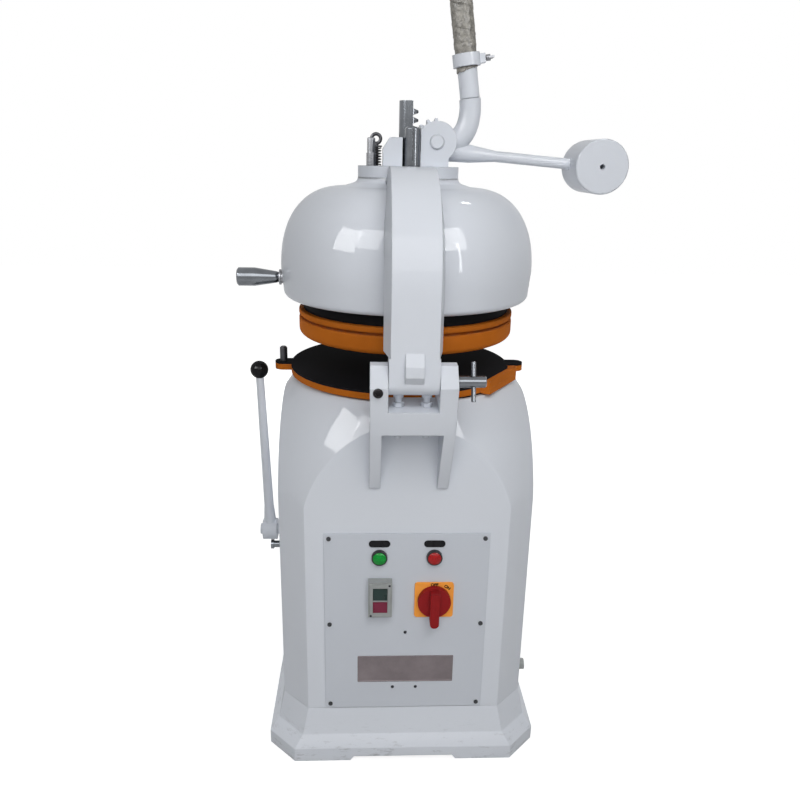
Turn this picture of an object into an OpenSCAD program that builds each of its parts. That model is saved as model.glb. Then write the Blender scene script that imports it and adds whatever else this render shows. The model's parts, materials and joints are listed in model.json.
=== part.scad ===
// Divider rounder: pedestal with an orbiting table and a tilting press head.
// Millimetres. Origin on the floor under the table drive, front is -Y.

/* [Pedestal] */
// Width across the flats of the pedestal body
body_width = 510; // [504:1:520]
// Width of the vertical corner chamfers
corner_chamfer = 55; // [45:1:60]
// Height of the pedestal rim above the floor
pedestal_height = 778; // [772:1:790]
// Wall thickness of the pedestal body
wall = 6; // [5:0.5:7]
// Stand-out of the base past the body on each side
base_overhang = 30; // [24:1:36]
// Height of the vertical lip of the base
lip_height = 31; // [26:1:36]

/* [Control panel] */
// Width of the control panel plate
panel_width = 326; // [312:1:334]
// Height of the control panel plate
panel_height = 406; // [396:1:408]
// Outer diameter of the signal lamp bezels
lamp_diameter = 31; // [28:0.5:33]
// Radius of the main switch knob
knob_radius = 33; // [30:0.5:35]

/* [Table] */
// Radius of the rounding table
table_radius = 231; // [227:1:232]
// Throw of the orbiting motion
orbit_radius = 10; // [7:0.5:11]
// Thickness of the rounding table
table_thickness = 12.5; // [12:0.5:16]
// Thickness of the dough plate
plate_thickness = 4; // [3:0.5:5]

/* [Head] */
// Largest radius of the head dome
dome_radius = 256; // [253:1:258]
// Height between the dough plate and the pressure ring
head_gap = 67; // [66:0.5:74]
// Radius of the pressure ring flanges
ring_radius = 222; // [219:1:222.5]
// Width of the arm between the hinge ears
arm_width = 87; // [80:1:88]

/* [Press] */
// Radius of the dough chamber
cell_radius = 196; // [190:1:197]
// Thickness of the divider knives
knife_thickness = 2.5; // [2:0.1:3]
// Height of the divider knives
knife_height = 50; // [44:1:52]

/* [Lever] */
// Length of the handle above the elbow
handle_reach = 276; // [240:2:330]
// Lean of the handle from the upright
handle_lean = 8.3; // [7:0.1:9]
// Radius of the counterweight
weight_radius = 52; // [46:1:58]
// Length of the counterweight
weight_length = 115; // [100:1:130]

/* [Round lever] */
// Distance from the round lever shaft to the ball
round_lever_length = 380; // [364:1:400]
// Radius of the ball knob
ball_radius = 19; // [17:0.5:21]

/* [Hidden] */
$fn = 96;
fit = 0.05;
gap = 0.3;
half_w = body_width / 2;
flare_top = 110;
base_half = half_w + base_overhang;
base_chamfer = corner_chamfer + 2;
floor_t = 8;
ogive_r = 407;
ogive_x = -78;
ogive_z = pedestal_height - 266;
ledge_top = pedestal_height - 82;
ledge_r = 190;
deck_t = 15;
deck_top = ledge_top + deck_t;
front_y = -half_w;
panel_t = 3;
panel_y = front_y - panel_t;
panel_z0 = flare_top + 4;
panel_zc = panel_z0 + panel_height / 2;
screw_r = 2;
cover_margin = 10;
lamp_x = 54;
lamp_z = panel_zc + 153;
lamp_r = lamp_diameter / 2;
lens_r = lamp_r - 2.5;
box_x = -52;
box_z = panel_zc + 66;
box_w = 47;
box_h = 78;
box_d = 20;
box_y = panel_y - box_d;
button_w = 28.5;
start_h = 26;
stop_h = 24;
start_z = box_z + 14.5;
stop_z = box_z - 14.5;
button_y = box_y - 2;
button_depth = 11;
main_x = 56;
main_z = panel_zc + 57;
main_plate = 78;
main_plate_t = 4;
main_y = panel_y - main_plate_t;
knob_t = 11;
knob_y = main_y - gap;

table_z = pedestal_height + 4;
table_top = table_z + table_thickness;
plate_top = table_top + plate_thickness;
ear_x = table_radius + 17;
ear_r = 18;
stud_r = 8;
stop_angle = -33.5;
stop_in = table_radius + 2;
stop_t = 10;
stop_len = 128;
stop_top = plate_top + 11;

ring_z = plate_top + head_gap;
ring_waist = ring_radius - 9;
drum_r = 212;
drum_wall = 8;
ring_top = ring_z + 53;
groove_low = ring_z + 36;
groove_high = ring_z + 41;
drum_z = ring_z + 43;
drum_top = ring_z + 136.5;
dome_z = ring_z + 134.5;
dome_a = 126;
dome_b = 160;
dome_in = dome_radius - dome_a;
dome_wall = 6;
dome_top = ring_z + 300.5;
dome_low = ring_z + 78.5;
dome_power = 0.88;
neck_r = 38;
collar_r = 100;
collar_fillet = 12;
collar_top = dome_top + 33;
sleeve_z = dome_top - 66;

hinge_y = front_y - 75;
hinge_z = plate_top + 51.5;
hinge_r = 32;
knuckle_r = 23;
pin_r = 10;
bar_r = 4;
bar_tilt = -20;
ear_in = arm_width / 2 + 0.5;
ear_t = 31;
ear_rise = 29;
ear_out = ear_in + ear_t;
rib_t = 21;
bridge_z0 = hinge_z - 94;
bridge_z1 = hinge_z - 50;
bracket_low = hinge_z - 231;
heel_z = hinge_z - knuckle_r;
level_x = 25;
level_y = hinge_y + 18;
arm_half = arm_width / 2;
arm_face = arm_half - 2.5;
arm_draft = 10;
arm_low = hinge_z + 44;
arm_front = hinge_y - knuckle_r;
arm_curve = collar_top - dome_z;
arm_bend_y = arm_front + arm_curve;
arm_depth = 62;
arm_back = arm_face + arm_depth * tan(arm_draft);
saddle_high = arm_face + gap;
saddle_low = saddle_high + (collar_top - dome_top) * tan(arm_draft);
arm_air = 14;

module_g = 5;
teeth = 16;
pitch = PI * module_g;
gear_r = module_g * teeth / 2;
tip_r = gear_r + 0.94 * module_g;
root_r = gear_r - 1.25 * module_g;
base_r = gear_r * cos(20);
backlash = 0.25;
rack_line = 12.5;
rack_tip = rack_line + 0.94 * module_g;
rack_root = rack_line - 1.25 * module_g;
pivot_x = rack_line + gear_r;
pivot_z = ring_z + 379.5;
pivot_r = 14;
spindle_r = 20;
spindle_top = pivot_z + 75;
flange_r = 48;
cheek_r = 38;
cheek_left = 21;
cheek_foot = 23;
cheek_in = 30;
cheek_t = 14;
hub_r = 34;
hub_half = cheek_in - 0.5;
web_half = 10;

ring_a = cell_radius * sqrt(4 / 30);
ring_b = cell_radius * sqrt(14 / 30);
segment_z = ring_z + 30;
segment_t = 14;
segment_r = cell_radius - 0.6;
slot = knife_thickness + 0.8;
rod_r = 5;
carrier_z = segment_z + knife_height;
carrier_t = 8;
carrier_r = cell_radius - 4;
drop = 30;

elbow_x = pivot_x + 64.9;
elbow_z = pivot_z + 81;
neck_start = 22;
neck_run = 58;
neck_rise = 42;
tube_r = 19;
tube_in = 16;
grip_r = 22;
grip_low = 44;
clamp_low = 57.6;
clamp_h = 23;
wing_r = 3;
wing_end = 52;
wing_half = 12;
weight_x = pivot_x + 321.5;
weight_z = pivot_z - 40;
weight_rod_r = 10.5;
rod_angle = atan2(18.5, 236);
rod_in = 24;
root_start = 10;
root_mid = 70;
root_end = 120;
root_r1 = 19.5;
root_r2 = 17;

release_z = ring_z + 110.5;
release_r = 8;
release_x = -dome_radius - 6;
release_len = 86;

round_z = 397;
round_x = -half_w - 45;
round_shaft_r = 12;
knob_room = 16;
ball_x = -orbit_radius - ear_x - ear_r - knob_room - ball_radius;
lean = atan2(round_x - ball_x, round_lever_length);

shaft_r = 20;
foot_z = floor_t + 22;
foot_r = 42;
foot_flange_r = 52;
crank_z = pedestal_height - 37;
crank_r = 15;
crank_top = table_z - 5;
idler_x = 140;
idler_r = 12;
idler_pin_r = 8;
pulley_z = 250;
pulley_h = 30;
big_r = 120;
small_r = 35;
motor_xy = 120;
motor_r = 75;
motor_foot = motor_r + 3;
belt_t = 5;
belt_h = 20;

eye_x = -64;
eye_y = 40;
coil_r = 9.5;
wire_r = 1.5;
coil_turns = 6;
coil_low = collar_top + gap + wire_r;
coil_high = collar_top + 34;

function chamfered(a, c) = [[a - c, -a], [a, -a + c], [a, a - c], [a - c, a],
  [-a + c, a], [-a, a - c], [-a, -a + c], [-a + c, -a]];
function corner_reach(a, c) = (2 * a - c) / sqrt(2);
function flare(low, high) = let (mid = high + 0.4 * (low - high))
  [[-low, 0], [low, 0], [low, lip_height], [mid, lip_height + 0.28 * (flare_top - lip_height)],
   [high, flare_top], [-high, flare_top],
   [-mid, lip_height + 0.28 * (flare_top - lip_height)], [-low, lip_height]];
function cover_screw_at(w, h) = [for (s = [-1, 1], k = [0, 0.5, 1])
  [s * (w / 2 - cover_margin), panel_z0 + cover_margin + k * (h - 2 * cover_margin)]];
function bezier(p, t) = pow(1 - t, 3) * p[0] + 3 * t * pow(1 - t, 2) * p[1]
  + 3 * t * t * (1 - t) * p[2] + pow(t, 3) * p[3];
function bezier_dir(p, t) = 3 * pow(1 - t, 2) * (p[1] - p[0])
  + 6 * t * (1 - t) * (p[2] - p[1]) + 3 * t * t * (p[3] - p[2]);
function inv(a) = tan(a) * 180 / PI - a;
function flank(r) = let (alpha = acos(min(1, base_r / r)))
  (pitch / 2 - backlash) / 2 / gear_r * 180 / PI + inv(20) - inv(alpha);
function polar(r, a) = [r * cos(a), r * sin(a)];
function coil_point(t) = [coil_r * cos(360 * t), coil_r * sin(360 * t),
  coil_low + (coil_high - coil_low) * t / coil_turns];

module along_x(r, x0, x1) {
  translate([x0, 0, 0])
    rotate([0, 90, 0])
      cylinder(h = x1 - x0, r = r);
}

module along_y(r, y0, y1) {
  translate([0, y0, 0])
    rotate([-90, 0, 0])
      cylinder(h = y1 - y0, r = r);
}

module side_profile(points, x0, x1) {
  translate([x0, 0, 0])
    rotate([90, 0, 90])
      linear_extrude(height = x1 - x0)
        polygon(points);
}

module front_profile(points, y0, y1) {
  translate([0, y1, 0])
    rotate([90, 0, 0])
      linear_extrude(height = y1 - y0)
        polygon(points);
}

module box_between(a, b) {
  translate(a)
    cube(b - a);
}

module tube(r_out, r_in, z0, z1) {
  translate([0, 0, z0])
    difference() {
      cylinder(h = z1 - z0, r = r_out);
      translate([0, 0, -1])
        cylinder(h = z1 - z0 + 2, r = r_in);
    }
}

module hex_nut(af, r_in, z0, z1) {
  translate([0, 0, z0])
    difference() {
      cylinder(h = z1 - z0, r = af / sqrt(3), $fn = 6);
      translate([0, 0, -1])
        cylinder(h = z1 - z0 + 2, r = r_in);
    }
}

module prism(a, c, z0, z1) {
  translate([0, 0, z0])
    linear_extrude(height = z1 - z0)
      polygon(chamfered(a, c));
}

module ogive(inset, z0, z1) {
  rotate_extrude($fn = 180)
    intersection() {
      translate([0, z0])
        square([ogive_r, z1 - z0]);
      union() {
        translate([ogive_x, ogive_z])
          circle(r = ogive_r - inset, $fn = 240);
        square([ogive_x + ogive_r - inset, ogive_z]);
      }
    }
}

module body_form(inset, z0, z1) {
  intersection() {
    prism(half_w - inset, corner_chamfer - 0.586 * inset, z0, z1);
    ogive(inset, z0, z1);
  }
}

module base_form() {
  reach_low = corner_reach(base_half, base_chamfer);
  reach_high = corner_reach(half_w, corner_chamfer);
  long = 2 * base_half;
  intersection() {
    front_profile(flare(base_half, half_w), -long, long);
    rotate([0, 0, 90])
      front_profile(flare(base_half, half_w), -long, long);
    rotate([0, 0, 45])
      front_profile(flare(reach_low, reach_high), -long, long);
    rotate([0, 0, -45])
      front_profile(flare(reach_low, reach_high), -long, long);
  }
}

module base_casting() {
  toe = 112;
  toe_h = 10;
  slope = 8;
  color([0.86, 0.88, 0.9])
    difference() {
      base_form();
      prism(half_w - 15, corner_chamfer - 9, floor_t, flare_top + 1);
      front_profile([[-toe, -1], [toe, -1], [toe - slope, toe_h], [slope - toe, toe_h]],
        -base_half - 1, -base_half + 36);
    }
}

module cover_opening(w, h, y0, y1) {
  edge = 24;
  box_between([-w / 2 + edge, y0, panel_z0 + edge], [w / 2 - edge, y1, panel_z0 + h - edge]);
}

module pedestal_shell() {
  color([0.88, 0.9, 0.92]) {
    difference() {
      union() {
        difference() {
          body_form(0, flare_top, pedestal_height);
          body_form(wall, flare_top - 1, pedestal_height + 1);
        }
        difference() {
          body_form(wall / 2, ledge_top - 10, ledge_top);
          translate([0, 0, ledge_top - 11])
            cylinder(h = 12, r = ledge_r);
        }
      }
      cover_opening(panel_width, panel_height, -half_w - 1, -half_w + wall + 1);
      cover_opening(panel_width, panel_height, half_w - wall - 1, half_w + 1);
      translate([0, 0, round_z])
        along_x(16, -half_w - 1, -half_w + wall + 1);
      translate([0, 0, round_z - 40])
        along_x(6, -half_w - 1, -half_w + wall + 1);
      translate([0, -150, 135])
        along_x(9, half_w - wall - 1, half_w + 1);
      for (p = cover_screw_at(panel_width, panel_height)) {
        translate([p[0], 0, p[1]])
          along_y(screw_r + fit, -half_w - 1, -half_w + wall + 1);
        translate([p[0], 0, p[1]])
          along_y(screw_r + fit, half_w - wall - 1, half_w + 1);
      }
    }
  }
}

module control_panel() {
  color([0.78, 0.8, 0.84])
    difference() {
      box_between([-panel_width / 2, panel_y, panel_z0],
        [panel_width / 2, front_y, panel_z0 + panel_height]);
      for (p = cover_screw_at(panel_width, panel_height))
        translate([p[0], 0, p[1]])
          along_y(screw_r + fit, panel_y - 1, front_y + 1);
      for (s = [-1, 1])
        translate([s * lamp_x, 0, lamp_z])
          along_y(11 + fit, panel_y - 1, front_y + 1);
      translate([box_x, 0, box_z])
        along_y(13 + fit, panel_y - 1, front_y + 1);
      translate([main_x, 0, main_z])
        along_y(8, panel_y - 1, front_y + 1);
    }
}

module cover_screw(side, t) {
  head = side * (half_w + t);
  for (p = cover_screw_at(panel_width, panel_height))
    translate([p[0], 0, p[1]])
      mirror([0, side < 0 ? 1 : 0, 0]) {
        along_y(screw_r, half_w - wall - 2, half_w + t);
        along_y(4.5, half_w + t, half_w + t + 2.2);
      }
}

module cover_screws() {
  color([0.2, 0.2, 0.22]) {
    cover_screw(-1, panel_t);
    cover_screw(1, panel_t);
  }
}

module rear_cover() {
  slots = 9;
  slot_step = 24;
  color([0.84, 0.86, 0.88])
    difference() {
      box_between([-panel_width / 2, half_w, panel_z0],
        [panel_width / 2, half_w + panel_t, panel_z0 + panel_height]);
      for (p = cover_screw_at(panel_width, panel_height))
        translate([p[0], 0, p[1]])
          along_y(screw_r + fit, half_w - 1, half_w + panel_t + 1);
      for (k = [0 : slots - 1])
        box_between([-90, half_w - 1, panel_zc + (k - (slots - 1) / 2) * slot_step - 4],
          [90, half_w + panel_t + 1, panel_zc + (k - (slots - 1) / 2) * slot_step + 4]);
    }
}

module panel_devices() {
  color([0.1, 0.1, 0.11]) {
    for (s = [-1, 1])
      translate([s * lamp_x, 0, lamp_z])
        difference() {
          union() {
            along_y(lamp_r, panel_y - 8, panel_y);
            along_y(11, panel_y, panel_y + 42);
          }
          along_y(lens_r, panel_y - 9, panel_y - 2);
        }
    translate([main_x, 0, main_z])
      difference() {
        union() {
          along_y(8 - gap, panel_y - main_plate_t + gap, panel_y + 16);
          box_between([-28, front_y + gap, -28], [28, front_y + 62, 28]);
        }
        along_y(4 + fit, panel_y - 30, panel_y + 22);
      }
    translate([box_x, 0, box_z]) {
      along_y(13, panel_y, front_y + gap);
      box_between([-20, front_y + gap, -34], [20, front_y + 46, 34]);
    }
  }
}

module lens() {
  crown = 5;
  round_r = (lens_r * lens_r + crown * crown) / (2 * crown);
  intersection() {
    along_y(lens_r - fit, panel_y - 16, panel_y - 2);
    translate([0, panel_y - 14 + round_r, 0])
      sphere(r = round_r);
  }
}

module green_lens() {
  color([0.1, 0.62, 0.25])
    translate([-lamp_x, 0, lamp_z])
      lens();
}

module red_lens() {
  color([0.78, 0.12, 0.12])
    translate([lamp_x, 0, lamp_z])
      lens();
}

module button_box() {
  edge = 3;
  color([0.55, 0.57, 0.58])
    difference() {
      union() {
        box_between([box_x - box_w / 2, box_y + edge, box_z - box_h / 2],
          [box_x + box_w / 2, panel_y, box_z + box_h / 2]);
        box_between([box_x - box_w / 2 + edge, box_y, box_z - box_h / 2 + edge],
          [box_x + box_w / 2 - edge, panel_y, box_z + box_h / 2 - edge]);
      }
      button_space(start_z, start_h);
      button_space(stop_z, stop_h);
    }
}

module button_space(z, h) {
  box_between([box_x - button_w / 2 - gap, box_y - 1, z - h / 2 - gap],
    [box_x + button_w / 2 + gap, box_y + 14, z + h / 2 + gap]);
}

module button_form(z, h) {
  box_between([box_x - button_w / 2, button_y + 1.5, z - h / 2],
    [box_x + button_w / 2, button_y + button_depth, z + h / 2]);
  box_between([box_x - button_w / 2 + 1.5, button_y, z - h / 2 + 1.5],
    [box_x + button_w / 2 - 1.5, button_y + 2, z + h / 2 - 1.5]);
}

module start_button() {
  color([0.05, 0.3, 0.2])
    button_form(start_z, start_h);
}

module stop_button() {
  color([0.55, 0.08, 0.15])
    button_form(stop_z, stop_h);
}

module isolator_plate() {
  corner = 6;
  core = main_plate / 2 - corner;
  color([0.98, 0.72, 0.15])
    translate([main_x, panel_y, main_z])
      rotate([90, 0, 0])
        linear_extrude(height = main_plate_t)
          difference() {
            union() {
              square([main_plate, 2 * core], center = true);
              square([2 * core, main_plate], center = true);
              for (s = [-1, 1], t = [-1, 1])
                translate([s * core, t * core])
                  circle(r = corner);
            }
            circle(r = 8);
          }
}

module isolator_knob() {
  bar = 9;
  tip = knob_radius + 15;
  color([0.8, 0.1, 0.1])
    translate([main_x, 0, main_z]) {
      along_y(knob_radius, knob_y - knob_t, knob_y);
      along_y(4, knob_y, panel_y + 20);
      box_between([-bar, knob_y - knob_t - 16, -tip + bar],
        [bar, knob_y - knob_t / 2, knob_radius - 5]);
      translate([0, 0, -tip + bar])
        along_y(bar, knob_y - knob_t - 16, knob_y - knob_t / 2);
    }
}

module hinge_bracket() {
  crown = [[hinge_y - hinge_r, hinge_z - 4], [hinge_y - 4, hinge_z + ear_rise],
    [hinge_y + 20, hinge_z + ear_rise], [hinge_y + hinge_r, hinge_z + 14]];
  face = [[hinge_y - 14, bridge_z0], [hinge_y - 21, bridge_z1]];
  rib = concat([[front_y, bracket_low], [front_y - 7, bracket_low]], face, crown,
    [[front_y - 8, bridge_z1], [front_y, bridge_z1 - 31]]);
  ear = concat(face, crown, [[front_y - 8, bridge_z1], [front_y - 8, bridge_z0]]);
  bridge = [[hinge_y - 14, bridge_z0], [hinge_y - 21, bridge_z1],
    [front_y - 8, bridge_z1], [front_y - 8, bridge_z0]];
  color([0.87, 0.89, 0.91])
    difference() {
      union() {
        for (s = [0, 1])
          mirror([s, 0, 0]) {
            side_profile(rib, ear_out - rib_t, ear_out);
            side_profile(ear, ear_in, ear_out);
          }
        side_profile(bridge, -ear_in, ear_in);
      }
      translate([0, hinge_y, hinge_z])
        along_x(pin_r + fit, -ear_out - 1, ear_out + 1);
      for (s = [-1, 1])
        translate([s * level_x, level_y, bridge_z0 - 1])
          cylinder(h = bridge_z1 - bridge_z0 + 2, r = 6 + fit);
    }
}

module level_bolts() {
  head_low = heel_z - 10;
  crown = 14;
  color([0.55, 0.56, 0.58])
    for (s = [-1, 1])
      translate([s * level_x, level_y, 0]) {
        translate([0, 0, bridge_z0 - 16])
          cylinder(h = head_low - bridge_z0 + 16, r = 6);
        intersection() {
          translate([0, 0, head_low])
            cylinder(h = 20, r = 9);
          translate([0, 0, heel_z - gap - crown])
            sphere(r = crown);
        }
        hex_nut(18, 6 + fit, bridge_z1, bridge_z1 + 8);
        hex_nut(18, 6 + fit, bridge_z0 - 9, bridge_z0);
      }
}

module bearing_plate() {
  color([0.4, 0.42, 0.44])
    difference() {
      translate([0, 0, ledge_top])
        cylinder(h = deck_t, r = ledge_r + 25);
      translate([0, 0, ledge_top - 1])
        cylinder(h = deck_t + 2, r = 2 * shaft_r);
      for (s = [-1, 1])
        translate([s * idler_x, 0, ledge_top - 1])
          cylinder(h = deck_t + 2, r = idler_r + fit);
    }
}

module upper_bearing() {
  color([0.7, 0.71, 0.73])
    tube(2 * shaft_r - fit, shaft_r + fit, ledge_top, deck_top);
}

module foot_bearing() {
  color([0.4, 0.42, 0.44])
    difference() {
      union() {
        translate([0, 0, floor_t])
          cylinder(h = 16, r = foot_flange_r);
        translate([0, 0, floor_t])
          cylinder(h = 54, r = foot_r);
      }
      translate([0, 0, foot_z - gap])
        cylinder(h = 60, r = shaft_r + fit);
    }
}

module motor_body() {
  bore_z = pulley_z - 68;
  color([0.3, 0.33, 0.36])
    translate([motor_xy, motor_xy, 0])
      difference() {
        union() {
          box_between([-motor_foot, -motor_foot, floor_t], [motor_foot, motor_foot, floor_t + 12]);
          translate([0, 0, floor_t])
            cylinder(h = 208, r = motor_r);
          translate([0, 0, floor_t])
            cylinder(h = 222, r = motor_r - 18);
        }
        translate([0, 0, bore_z])
          cylinder(h = 80, r = 12 + fit);
      }
}

module motor_pulley() {
  color([0.35, 0.36, 0.38])
    translate([motor_xy, motor_xy, 0]) {
      translate([0, 0, pulley_z - 66])
        cylinder(h = pulley_h + 72, r = 12);
      translate([0, 0, pulley_z])
        cylinder(h = pulley_h, r = small_r);
    }
}

module belt_outline(r1, r2) {
  dist = motor_xy * sqrt(2);
  turn = acos((r1 - r2) / dist);
  far = [motor_xy, motor_xy];
  circle(r = r1);
  translate(far)
    circle(r = r2);
  polygon([polar(r1, 45 + turn), polar(r1, 45 - turn),
    far + polar(r2, 45 - turn), far + polar(r2, 45 + turn)]);
}

module drive_belt() {
  color([0.08, 0.08, 0.09])
    translate([0, 0, pulley_z + (pulley_h - belt_h) / 2])
      linear_extrude(height = belt_h)
        difference() {
          belt_outline(big_r + gap + belt_t, small_r + gap + belt_t);
          belt_outline(big_r + gap, small_r + gap);
        }
}

module cable_gland() {
  color([0.75, 0.76, 0.78])
    translate([half_w, -150, 135])
      difference() {
        union() {
          rotate([0, 90, 0])
            cylinder(h = 8, r = 15, $fn = 6);
          along_x(12, 8, 20);
          along_x(9 - fit, -wall - 4, 1);
        }
        along_x(5, -wall - 5, 21);
      }
}

module lever_bush() {
  color([0.6, 0.61, 0.63])
    translate([0, 0, round_z])
      difference() {
        union() {
          along_x(24, -half_w - 10, -half_w);
          along_x(16 - fit, -half_w - 1, -half_w + 24);
        }
        along_x(round_shaft_r + fit, -half_w - 11, -half_w + 25);
      }
}

module stop_pin() {
  color([0.8, 0.81, 0.83])
    translate([0, 0, round_z - 40]) {
      along_x(6 - fit, -half_w - 2, -half_w + wall + 4);
      along_x(8, -half_w - 38, -half_w);
      along_x(11, -half_w - 45, -half_w - 38);
    }
}

module main_shaft() {
  color([0.62, 0.63, 0.66]) {
    translate([0, 0, foot_z])
      cylinder(h = crank_z - foot_z, r = shaft_r);
    translate([0, 0, crank_z])
      cylinder(h = 10, r = 40);
    translate([-orbit_radius, 0, crank_z + 10])
      cylinder(h = crank_top - crank_z - 10, r = crank_r);
    translate([0, 0, crank_z])
      linear_extrude(height = 10)
        intersection() {
          circle(r = 70);
          translate([0, -70])
            square([70, 140]);
        }
  }
}

module driven_pulley() {
  color([0.35, 0.36, 0.38])
    difference() {
      union() {
        tube(big_r, big_r - 14, pulley_z, pulley_z + pulley_h);
        translate([0, 0, pulley_z + 9])
          cylinder(h = 12, r = big_r - 10);
        translate([0, 0, pulley_z - 8])
          cylinder(h = pulley_h + 16, r = 38);
      }
      translate([0, 0, pulley_z - 9])
        cylinder(h = pulley_h + 18, r = shaft_r);
      for (k = [0 : 4])
        rotate([0, 0, 72 * k])
          translate([72, 0, pulley_z])
            cylinder(h = pulley_h, r = 22);
    }
}

module idler(side) {
  translate([side * idler_x, 0, 0]) {
    translate([0, 0, ledge_top - 12])
      cylinder(h = crank_z - ledge_top + 12, r = idler_r);
    translate([0, 0, crank_z])
      cylinder(h = 8, r = 24);
    translate([-orbit_radius, 0, crank_z + 8])
      cylinder(h = crank_top - crank_z - 8, r = idler_pin_r);
  }
}

module idler_left() {
  color([0.62, 0.63, 0.66])
    idler(-1);
}

module idler_right() {
  color([0.62, 0.63, 0.66])
    idler(1);
}

module table_outline() {
  circle(r = table_radius, $fn = 180);
  for (s = [-1, 1]) {
    translate([s * ear_x, 0])
      circle(r = ear_r);
    translate([s * (ear_x - 15) - 15, -ear_r])
      square([30, 2 * ear_r]);
  }
}

module rounding_table() {
  hub_low = crank_z + 16;
  color([0.85, 0.42, 0.1])
    translate([-orbit_radius, 0, 0])
      difference() {
        union() {
          translate([0, 0, table_z])
            linear_extrude(height = table_thickness)
              union() {
                table_outline();
                rotate([0, 0, stop_angle])
                  translate([table_radius * 0.8, -stop_len / 2])
                    square([stop_in + stop_t - table_radius * 0.8, stop_len]);
              }
          translate([0, 0, hub_low])
            cylinder(h = table_z - hub_low + 2, r = 36);
          for (s = [-1, 1])
            translate([s * idler_x, 0, hub_low])
              cylinder(h = table_z - hub_low + 2, r = 18);
        }
        translate([0, 0, hub_low - 1])
          cylinder(h = crank_top - hub_low + 3, r = crank_r + 10);
        for (s = [-1, 1])
          translate([s * idler_x, 0, hub_low - 1])
            cylinder(h = crank_top - hub_low + 3, r = idler_pin_r + fit);
      }
}

module table_bearing() {
  color([0.7, 0.71, 0.73])
    translate([-orbit_radius, 0, 0])
      tube(crank_r + 10 - fit, crank_r + fit, crank_z + 16, crank_top + 1);
}

module dough_plate() {
  color([0.07, 0.07, 0.08])
    translate([-orbit_radius, 0, table_top])
      linear_extrude(height = plate_thickness)
        difference() {
          table_outline();
          translate([-ear_x, 0])
            circle(r = stud_r + gap);
        }
}

module locating_stud() {
  color([0.16, 0.16, 0.17])
    translate([-orbit_radius - ear_x, 0, table_top]) {
      cylinder(h = plate_thickness + 28, r = stud_r);
      translate([0, 0, plate_thickness + 28])
        cylinder(h = 3, r1 = stud_r, r2 = stud_r - 3);
    }
}

module plate_stop() {
  color([0.85, 0.42, 0.1])
    translate([-orbit_radius, 0, 0])
      rotate([0, 0, stop_angle])
        box_between([stop_in, -stop_len / 2, table_top], [stop_in + stop_t, stop_len / 2, stop_top]);
}

function swell(c) = pow(c, dome_power);
function arm_section() = [[-arm_face, 0], [arm_face, 0], [arm_back, arm_depth], [-arm_back, arm_depth]];
function dome_air() = concat([[-105, dome_top + 2]],
  [for (t = [90 : -3.75 : 0])
    [-dome_in - (dome_a + arm_air) * swell(cos(t)), dome_z + (dome_b + arm_air) * swell(sin(t))]],
  [[-dome_in - dome_a - arm_air, dome_z - 1], [-105, dome_z - 1]]);

module arm_column() {
  translate([0, arm_front, arm_low])
    linear_extrude(height = dome_z - arm_low)
      polygon(arm_section());
}

module arm_bend() {
  intersection() {
    translate([0, arm_bend_y, dome_z])
      rotate([0, 90, 0])
        rotate_extrude($fn = 180)
          polygon([for (q = arm_section()) [arm_curve - q[1], q[0]]]);
    box_between([-arm_back - 1, arm_front - 1, dome_z], [arm_back + 1, arm_bend_y, collar_top + 1]);
  }
}

module arm_roof() {
  intersection() {
    front_profile([for (q = arm_section()) [q[0], collar_top - q[1]]], arm_bend_y, -60);
    box_between([-arm_back - 1, arm_bend_y - 1, dome_top + 2], [arm_back + 1, 0, collar_top + 1]);
  }
}

module arm_knuckle() {
  rear = arm_front + arm_depth;
  translate([0, hinge_y, hinge_z])
    along_x(knuckle_r, -arm_half, arm_half);
  side_profile([[hinge_y, heel_z], [rear - 8, heel_z], [rear, heel_z + 12], [rear, arm_low + 1],
    [arm_front, arm_low + 1], [arm_front, hinge_z], [hinge_y, hinge_z]], -arm_half, arm_half);
}

module head_arm() {
  pad = 16;
  pad_y = arm_front - 11;
  pad_form = [[arm_front + 10, hinge_z + 1.5], [arm_front, hinge_z + 1.5], [pad_y, hinge_z + 15],
    [pad_y, hinge_z + 34], [arm_front - 1, hinge_z + 54.5], [arm_front + 10, hinge_z + 54.5]];
  color([0.88, 0.9, 0.92])
    difference() {
      union() {
        difference() {
          union() {
            arm_column();
            arm_bend();
            arm_roof();
          }
          side_profile(dome_air(), -arm_back - 2, arm_back + 2);
        }
        arm_knuckle();
        side_profile(pad_form, -pad, pad);
        translate([0, 0, dome_top])
          cylinder(h = collar_top - dome_top, r = collar_r);
        translate([0, 0, sleeve_z])
          cylinder(h = dome_top - sleeve_z + 1, r = neck_r);
      }
      translate([0, hinge_y, hinge_z])
        along_x(pin_r + fit, -arm_half - 10, arm_half + 10);
      translate([0, 0, sleeve_z - 1])
        cylinder(h = collar_top - sleeve_z + 2, r = spindle_r + fit);
    }
}

function dome_outline() = concat(
  [[neck_r + gap, dome_top], [collar_r + fit, dome_top]],
  [for (t = [180 : 15 : 255])
    [collar_r + fit + collar_fillet * (1 + cos(t)), dome_top + collar_fillet * (1 + sin(t))]],
  [for (t = [90 : -3 : 0]) [dome_in + dome_a * swell(cos(t)), dome_z + dome_b * swell(sin(t))]],
  [for (t = [0 : -15 : -90])
    [dome_radius - 16 + 12 * cos(t), dome_low + 12 + 12 * sin(t)]],
  [[dome_radius - 20, dome_low], [dome_radius - 12, dome_low + 16]],
  [for (t = [0 : 3 : 90])
    [dome_in + (dome_a - dome_wall) * swell(cos(t)), dome_z + (dome_b - dome_wall) * swell(sin(t))]],
  [[105, dome_top - dome_wall], [neck_r + gap, dome_top - dome_wall]]);

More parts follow.
